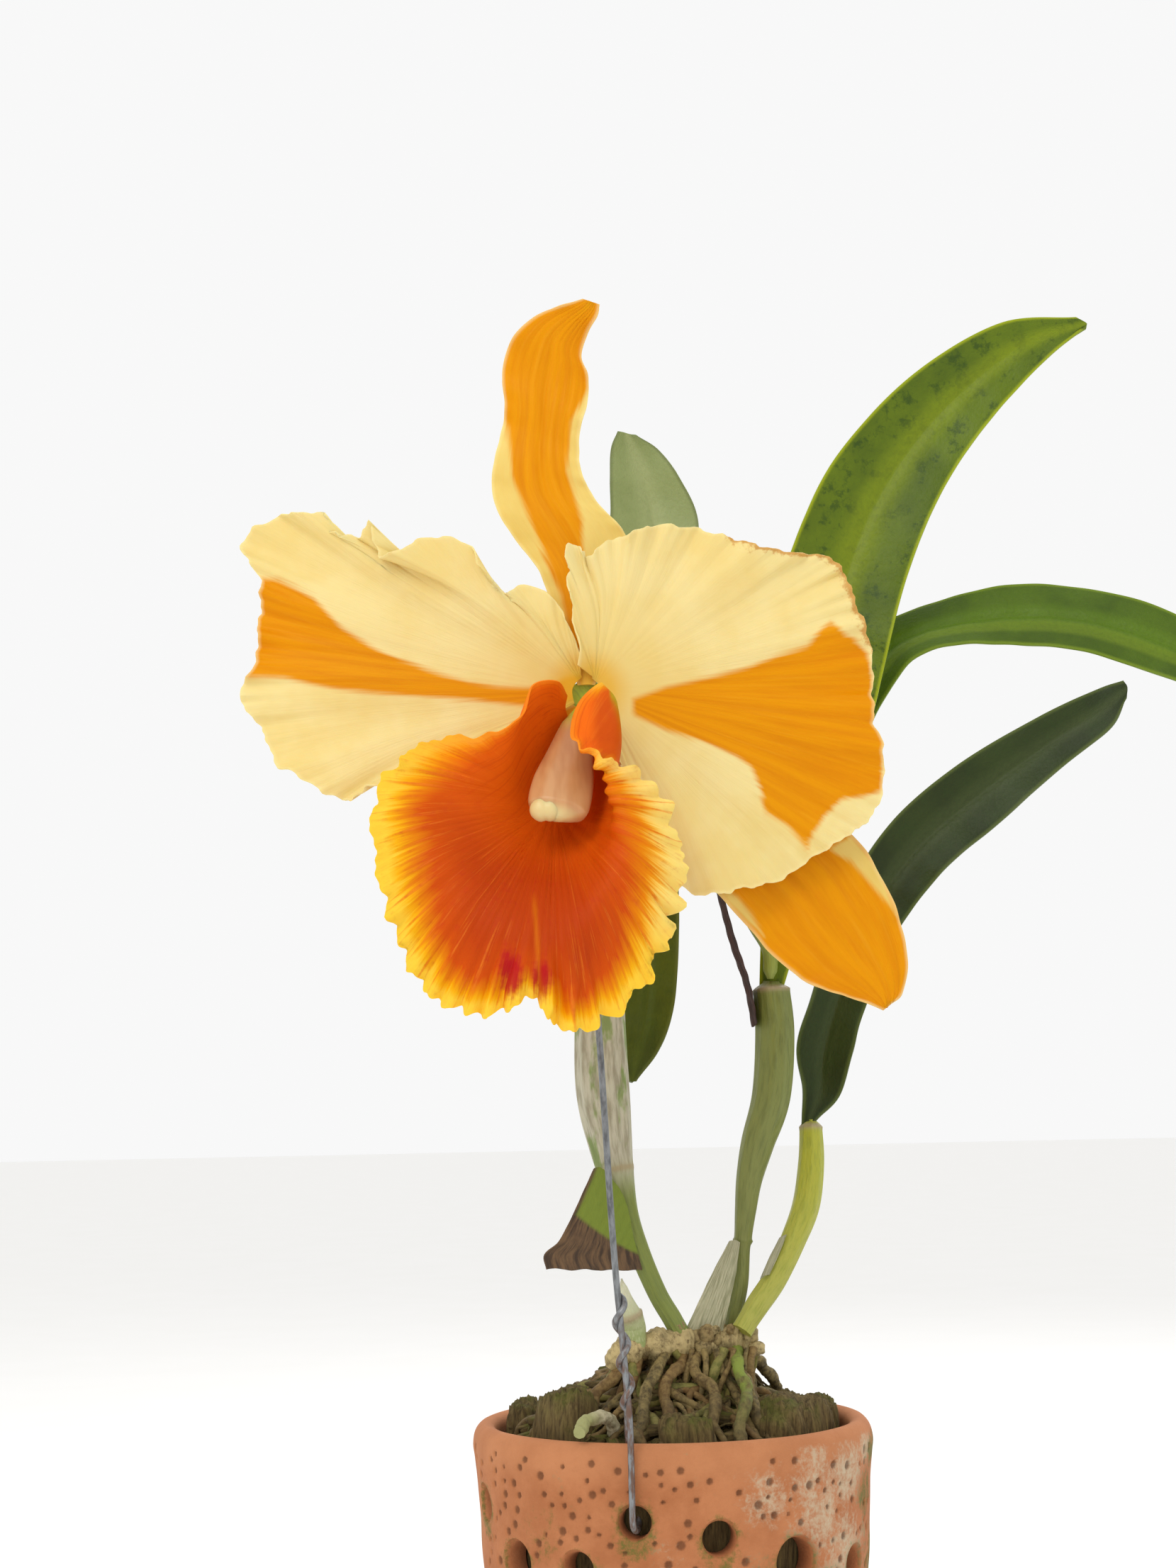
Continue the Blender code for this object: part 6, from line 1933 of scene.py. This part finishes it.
@dataclass
class Roots:
    """The rhizome with the roots that leave it, and the thin roots that wander over the mound."""

    rhizome: Sequence[Point]
    tan_roots: Sequence[Sequence[Point]]
    green_root: Sequence[Point]
    medium: Medium
    rhizome_radius: float = 3.6
    rhizome_rings: int = 120
    buried_end: Sequence[Point] = ((-16.0, -19.5, 109.5), (-12.5, -18.6, 113.4))
    root_radius: float = 1.45
    green_radius: float = 1.5
    tints: Sequence[float] = (0.1, 0.7, 0.35)
    mound_edge: float = 40.5
    stride: float = 5.2
    wandering: int = 62
    forward_share: float = 0.72
    knobs: int = 34
    wander: float = 0.95
    seed: int = 5

    def rhizome_shell(self) -> Shell:
        """Return the creeping stem, swollen at its joints and ringed between them."""
        line = smooth_line([*self.buried_end, *self.rhizome], self.rhizome_rings)
        travelled = arc_lengths(line)
        radii = self.rhizome_radius + 0.55 * np.sin(travelled * 0.92 + 0.6) + 0.14 * np.sin(travelled * 4.3)
        count = self.rhizome_rings
        ends = np.minimum(np.linspace(0.0, 9.0, count), np.linspace(9.0, 0.0, count))
        radii *= np.sqrt(np.clip(ends, 0.08, 1.0))
        shell = Tube(np.column_stack([line, radii]), 36, None, self.bumps).shell()
        return self.coloured(shell, 0.3, 1.0, 0.0)

    @staticmethod
    def bumps(share: np.ndarray, turns: np.ndarray) -> np.ndarray:
        """Return the uneven skin's height as a share of the radius."""
        return 0.05 * np.sin(3.0 * turns + 23.0 * share) + 0.03 * np.sin(7.0 * turns - 40.0 * share)

    @staticmethod
    def coloured(shell: Shell, tint: float, knob: float, green: float) -> Shell:
        """Add a shell's own tints to its marks."""
        points, faces, marks = shell
        count = len(points)
        tints = {"tint": np.full(count, tint), "knob": np.full(count, knob), "green": np.full(count, green)}
        return points, faces, {**marks, **tints}

    def root(
        self, route: Sequence[Sequence[float]], radius: float, phase: float, rings: int = 56, sides: int = 18
    ) -> Shell:
        """Return one root along a route, uneven in thickness."""
        line = smooth_line(route, rings)[:, :3]
        travelled = arc_lengths(line)
        radii = radius + 0.09 * radius * np.sin(travelled * 0.8 + phase)
        radii = radii + 0.05 * radius * np.sin(travelled * 2.9 + phase)
        bends = [
            np.sin(travelled / 3.3 + phase),
            np.cos(travelled / 4.1 + phase),
            0.4 * np.sin(travelled / 2.2 + 2.0 * phase),
        ]
        kinks = [np.sin(travelled / 1.3 + phase), np.cos(travelled / 1.5), np.sin(travelled / 1.1)]
        loose = np.minimum(travelled / 5.0, 1.0)[:, None]
        wobble = (self.wander * np.stack(bends, axis=1) + 0.16 * np.stack(kinks, axis=1)) * loose
        return Tube(np.column_stack([line + wobble, radii]), sides, None, self.bumps).shell()

    def wanderer(self, draw: random.Random) -> Shell:
        """Return one thin root that leaves the rhizome and runs down over the mound."""
        start = np.array([draw.uniform(-13.0, 21.0), draw.uniform(-18.0, -9.0)])
        forward = draw.random() < self.forward_share
        heading = draw.uniform(-math.pi, 0.0) if forward else draw.uniform(0.0, math.pi)
        radius = draw.uniform(0.55, 1.25)
        route = [(*start, 113.5)]
        place = start
        for step in range(7):
            heading += draw.uniform(-0.75, 0.75)
            place = place + self.stride * np.array([math.cos(heading), math.sin(heading)])
            reach = float(np.hypot(*place))
            if reach > self.mound_edge:
                place = place * self.mound_edge / reach
                route.append((*place, self.medium.height(self.mound_edge) - 1.0 - 2.0 * step / 6.0))
                break
            route.append((*place, self.medium.height(reach) + draw.uniform(0.6, 2.6)))
        return self.root(route, radius, draw.uniform(0.0, 6.0), rings=60, sides=12)

    def knob(self, draw: random.Random) -> Shell:
        """Return one bud or scar on the creeping stem: a small uneven lump."""
        line = smooth_line(self.rhizome, 40)
        centre = line[draw.randrange(len(line))]
        spread = ((-2.0, 2.0), (-4.0, 3.0), (-1.5, 3.2))
        centre = centre + np.array([draw.uniform(low, high) for low, high in spread])
        points, faces = globe(10, 14)
        size = draw.uniform(1.1, 2.3)
        x, y, z = points.T
        uneven = 1.0 + 0.16 * np.sin(3.0 * x + 5.0 * z + size) * np.sin(4.0 * y + size)
        points = points * uneven[:, None] * size * np.array([1.0, 1.0, draw.uniform(0.7, 1.3)]) + centre
        marks = {name: np.zeros(len(points)) for name in ("along", "turn", "ring")}
        return self.coloured((points, faces, marks), draw.uniform(0.0, 0.6), draw.uniform(0.2, 0.9), 0.0)

    def build(self) -> Piece:
        """Make the rhizome and roots in place of their solid."""
        draw = random.Random(self.seed)
        cluster = Cluster()
        cluster.add(*self.rhizome_shell())
        for index, route in enumerate(self.tan_roots):
            root = self.root(route, self.root_radius, index * 1.3)
            cluster.add(*self.coloured(root, self.tints[index % len(self.tints)], 0.0, 0.0))
        cluster.add(*self.coloured(self.root(self.green_root, self.green_radius, 2.0), 0.0, 0.0, 1.0))
        for _ in range(self.knobs):
            cluster.add(*self.knob(draw))
        for _ in range(self.wandering):
            thin = self.wanderer(draw)
            cluster.add(*self.coloured(thin, draw.uniform(0.0, 1.0), 0.0, 0.35 * (draw.random() < 0.3)))
        roots = cluster.piece("roots_over_mound", RootFinish("root_bark_skin").material())
        return settle(roots, "root_bark", "rhizome_with_roots")


@dataclass
class Wire:
    """The stiff wire: hooked through the pot's hole, its tail twisted up it, its crook round the stalk.

    inside is the route's first point past the tail, and strand spans the points that the tail winds round.
    """

    route: Sequence[Point]
    twist: tuple[float, float] = (103.0, 131.0)
    twist_turns: float = 3.0
    twist_radius: float = 1.3
    tail_foot: Point = (-11.9, -46.6, 97.5)
    inside: int = 4
    strand: tuple[int, int] = (9, 15)
    crook_centre: Point = (-8.8, -57.4, 263.6)
    crook_radius: float = 4.7
    crook_degrees: tuple[int, int, int] = (200, -31, -11)
    diameter: float = 1.55
    rings: int = 560
    sides: int = 14
    tip_rings: int = 6

    def path(self) -> list[Point]:
        """Return the wire's points, from the tail's tip to the end of the crook."""
        points = self.tail() + list(self.route[self.inside:])
        for degrees in range(*self.crook_degrees):
            turn = math.radians(degrees)
            x = self.crook_centre[0] + self.crook_radius * math.cos(turn)
            z = self.crook_centre[2] + self.crook_radius * math.sin(turn)
            points.append((x, self.crook_centre[1], z))
        return points

    def tail(self) -> list[Point]:
        """Return the tail from its tip, wound down round the strand to the inside of the wall."""
        low, high = self.twist
        strand = smooth_line(self.route[slice(*self.strand)], 80)
        points = []
        for share in np.linspace(1.0, 0.0, 28):
            height = low + (high - low) * share
            turn = 2.0 * math.pi * self.twist_turns * share + 1.9
            x, y = (float(np.interp(height, strand[:, 2], strand[:, axis])) for axis in (0, 1))
            aside, ahead = self.twist_radius * math.cos(turn), self.twist_radius * math.sin(turn)
            points.append((x + aside, y + ahead, height))
        return points + [self.tail_foot]

    def build(self) -> Piece:
        """Make the wire in place of its solid."""
        line = smooth_line(self.path(), self.rings)
        radii = np.full(len(line), self.diameter / 2.0)
        radii[:self.tip_rings] *= np.linspace(0.35, 1.0, self.tip_rings)
        shell = Tube(np.column_stack([line, radii]), self.sides).shell()
        return settle(build_mesh("wire_strand", *shell, WireFinish().material()), "galvanised_wire", "wire")


@dataclass
class PhotoCamera:
    """The camera, from where the plant was photographed: low in front, looking slightly up."""

    place: Point = (-18.1, -620.0, 174.4)
    pitch: float = 7.8
    roll: float = 1.2
    lens: float = 54.0
    sensor: float = 36.0

    def build(self) -> None:
        """Set the camera up and make it the scene's own."""
        camera = bpy.data.cameras.new("photo_camera")
        camera.lens = self.lens
        camera.sensor_width = self.sensor
        camera.clip_end = 50.0
        body = show("photo_camera", camera)
        tilt = Matrix.Rotation(math.radians(90.0 + self.pitch), 4, "X")
        turn = Matrix.Rotation(math.radians(-self.roll), 4, "Z")
        body.matrix_world = Matrix.Translation(Vector(self.place) * MM) @ tilt @ turn
        bpy.context.scene.camera = body


@dataclass(frozen=True)
class Lamp:
    """A soft square lamp, aimed at the plant."""

    name: str
    place: Point
    size: float
    power: float
    colour: Colour = (1.0, 1.0, 1.0)


@dataclass
class Studio:
    """A pale floor under soft light, with an even pale surround."""

    lamps: Sequence[Lamp] = (
        Lamp("key_lamp", (-360.0, -800.0, 860.0), 480.0, 3.1, (1.0, 0.985, 0.96)),
        Lamp("back_lamp", (400.0, 700.0, 900.0), 600.0, 3.0),
    )
    aim: Point = (0.0, -20.0, 220.0)
    surround: float = 0.94
    floor_reach: float = 9000.0
    floor_level: float = -0.2

    def build(self) -> None:
        """Lay the floor, hang the lamps and light the surround."""
        self.floor()
        for lamp in self.lamps:
            self.hang(lamp)
        world = bpy.data.worlds.new("pale_surround")
        world.use_nodes = True
        world.node_tree.nodes["Background"].inputs["Color"].default_value = (1.0, 1.0, 1.0, 1.0)
        world.node_tree.nodes["Background"].inputs["Strength"].default_value = self.surround
        bpy.context.scene.world = world
        bpy.context.scene.view_settings.view_transform = "Standard"

    def hang(self, lamp: Lamp) -> None:
        """Hang one lamp."""
        light = bpy.data.lights.new(lamp.name, "AREA")
        light.size = lamp.size * MM
        light.energy = lamp.power
        light.color = lamp.colour
        body = show(lamp.name, light)
        body.location = Vector(lamp.place) * MM
        body.rotation_euler = (Vector(lamp.place) - Vector(self.aim)).to_track_quat("Z", "Y").to_euler()

    def floor(self) -> None:
        """Lay the pale floor."""
        corners = self.floor_reach * np.array([(-1, -1, 0), (1, -1, 0), (1, 1, 0), (-1, 1, 0)], dtype=float)
        corners[:, 2] = self.floor_level
        board = Board("pale_floor")
        clouds = board.noise(board.place(), 60.0, 3.0)
        board.finish(board.mix(clouds, *tones("faf9f7", "f7f6f3")), 0.8)
        build_mesh("floor", corners, [(0, 1, 2, 3)], {}, board.material)


def build_flower() -> None:
    """Build the sepals, petals, lip, column and stalk."""
    tissue = TissueFinish("petal_skin")
    Petal(
        "petal_left_ruffled", LEFT_PETAL_CLAW, LEFT_PETAL_MARGIN, LEFT_WEDGE, tissue, seed=0.4
    ).build("petal", "petal_left")
    dried = TissueFinish("petal_skin_right", dried=0.8)
    Petal(
        "petal_right_ruffled", RIGHT_PETAL_CLAW, RIGHT_PETAL_MARGIN, RIGHT_WEDGE, dried, seed=2.1,
        dry_span=(0.26, 0.5),
    ).build("petal", "petal_right")
    pale = TissueFinish("sepal_skin", cream=tone("e4ca74"), cream_deep=tone("d6b254"))
    dorsal = Sepal("sepal_dorsal_folded", *DORSAL_SEPAL, Patch.BAND, [DORSAL_BAND], pale, seed=1.3)
    dorsal.build("sepal", "dorsal_sepal")
    patches = [CREAM_TRIANGLE, CREAM_STRIP]
    lower = Sepal("sepal_right_folded", *RIGHT_SEPAL, Patch.ALL_BUT, patches, pale, seed=2.6)
    lower.build("sepal", "lateral_sepal_right")
    hidden = Sepal("sepal_left_folded", *LEFT_SEPAL, Patch.ALL_BUT, patches, pale, seed=3.9)
    hidden.build("sepal", "lateral_sepal_left")
    Lip(LIP).build()
    Column(COLUMN).build()
    stalk = StemFinish("stalk_skin", *tones("8f9a3c", "a8bc2c", "7a8a34"))
    Stem(
        "stalk_ribbed", FLOWER_STALK, stalk, rings=120, sides=28, ribs=6, rib_depth=0.05, sink=0.1
    ).build("flower_stalk", "flower_stalk")


def build_leaves() -> None:
    """Build the five leaves and what is left of the cut one."""
    mottled = LeafFinish(
        "leaf_mottled", *tones("5e720a", "4c600a", "869612", "9eaa12", "8b9a48"), mottle=0.7
    )
    Leaf("leaf_a1_keeled", LEAF_A1, mottled, seed=0.2).build("leaf_yellow_green", "leaf_a1")
    bright = LeafFinish(
        "leaf_bright", *tones("4d660a", "3f5608", "5f7e0e", "72881a", "6f8236"), mottle=0.1, band=0.5
    )
    Leaf("leaf_a2_keeled", LEAF_A2, bright, seed=1.4).build("leaf_bright", "leaf_a2")
    dark = LeafFinish("leaf_dark", *tones("2f3d12", "24300c", "46522a", "56632c", "46562a"), mottle=0.2)
    Leaf("leaf_b1_keeled", LEAF_B1, dark, seed=2.6).build("leaf_dark", "leaf_b1")
    grey = LeafFinish("leaf_grey", *tones("8d9862", "7f8b55", "a2aa76", "6c7648", "6f7c50"), mottle=0.05)
    Leaf("leaf_c1_keeled", LEAF_C1, grey, seed=3.1).build("leaf_grey", "leaf_c1")
    olive = LeafFinish("leaf_olive", *tones("566014", "444e10", "5c681c", "68702e", "4c5830"), mottle=0.2)
    Leaf("leaf_c2_keeled", LEAF_C2, olive, seed=4.4).build("leaf_olive", "leaf_c2")
    cut = DryFinish("leaf_cut_skin", *tones("6e5438", "3e2e20", "75862a"))
    DrySheath(
        "leaf_cut_crinkled", CUT_LEAF, cut, seed=0.9, along=90, across=34, thickness=0.75,
        crinkle=0.14, tear=0.3,
    ).build("leaf_cut", "cut_leaf")


def build_stems() -> None:
    """Build the pseudobulbs, the young shoot and the dry sheaths."""
    olive = StemFinish("bulb_olive", *tones("77803a", "7f8440", "5c6428"))
    Stem(
        "bulb_a_ribbed", PSEUDOBULB_A, olive, rings=170, sides=44, ribs=9, rib_depth=0.05,
        joints=(204.0,), seed=0.4,
    ).build("pseudobulb_olive", "pseudobulb_a")
    lime = StemFinish("bulb_lime", *tones("acae2e", "aaaa48", "8a942c"))
    Stem(
        "bulb_b_ribbed", PSEUDOBULB_B, lime, rings=110, sides=40, ribs=8, rib_depth=0.05,
        joints=(168.0,), seed=1.9,
    ).build("pseudobulb_lime", "pseudobulb_b")
    paper = StemFinish(
        "bulb_papery", *tones("8a9a5c", "7f8a40", "6c7a44", "c2bda6", "989078"),
        paper_share=0.95, paper_end=0.62, change=(0.5, 0.7), dull=0.7,
    )
    Stem(
        "bulb_c_ribbed", PSEUDOBULB_C, paper, rings=170, sides=48, ribs=11, rib_depth=0.06,
        joints=(222.0, 158.0), seed=3.3,
    ).build("pseudobulb_paper", "pseudobulb_c")
    shoot = StemFinish("shoot_skin", *tones("d8d6b8", "93a05c", "c3c79a"))
    Stem(
        "shoot_ringed", SHOOT, shoot, rings=60, sides=32, ribs=5, rib_depth=0.04, joints=(122.4,), seed=0.2
    ).build("shoot", "young_shoot")
    papery = DryFinish("sheath_papery", *tones("bcb898", "90906e"))
    DrySheath(
        "sheath_pale_torn", PALE_SHEATH, papery, seed=1.1, tear=0.8, sink=4.5
    ).build("sheath_paper", "pale_sheath")
    DrySheath(
        "sheath_scrap_torn", SCRAP_ON_B, papery, seed=2.3, tear=0.6
    ).build("sheath_paper", "sheath_scrap")
    brown = DryFinish("spathe_dry", *tones("4a3028", "241512"))
    DrySheath("spathe_dry_split", SPATHE, brown, seed=3.1, tear=1.2).build("spathe_brown", "spathe")


def build_pot() -> None:
    """Build the pot, its medium, the roots and the wire."""
    Pot().build()
    medium = Medium()
    medium.build()
    roots = Roots(RHIZOME, TAN_ROOTS, GREEN_ROOT, medium)
    roots.build()
    pale = roots.root(PALE_ROOT, radius=1.55, phase=0.4, rings=70, sides=22)
    skin = RootFinish("pale_root_skin", *tones("bdb494", "8f8766"), tip=tone("9c9c66"))
    pale = roots.coloured(pale, tint=0.0, knob=0.0, green=0.0)
    settle(build_mesh("root_pale_tip", *pale, skin.material()), "pale_root", "pale_root")
    Wire(WIRE).build()


def main() -> None:
    """Build every piece, light it, and set up the camera."""
    logging.basicConfig(level=logging.INFO, format="%(name)s %(message)s")
    build_pot()
    build_stems()
    build_leaves()
    build_flower()
    Studio().build()
    PhotoCamera().build()


if __name__ == "__main__":
    main()
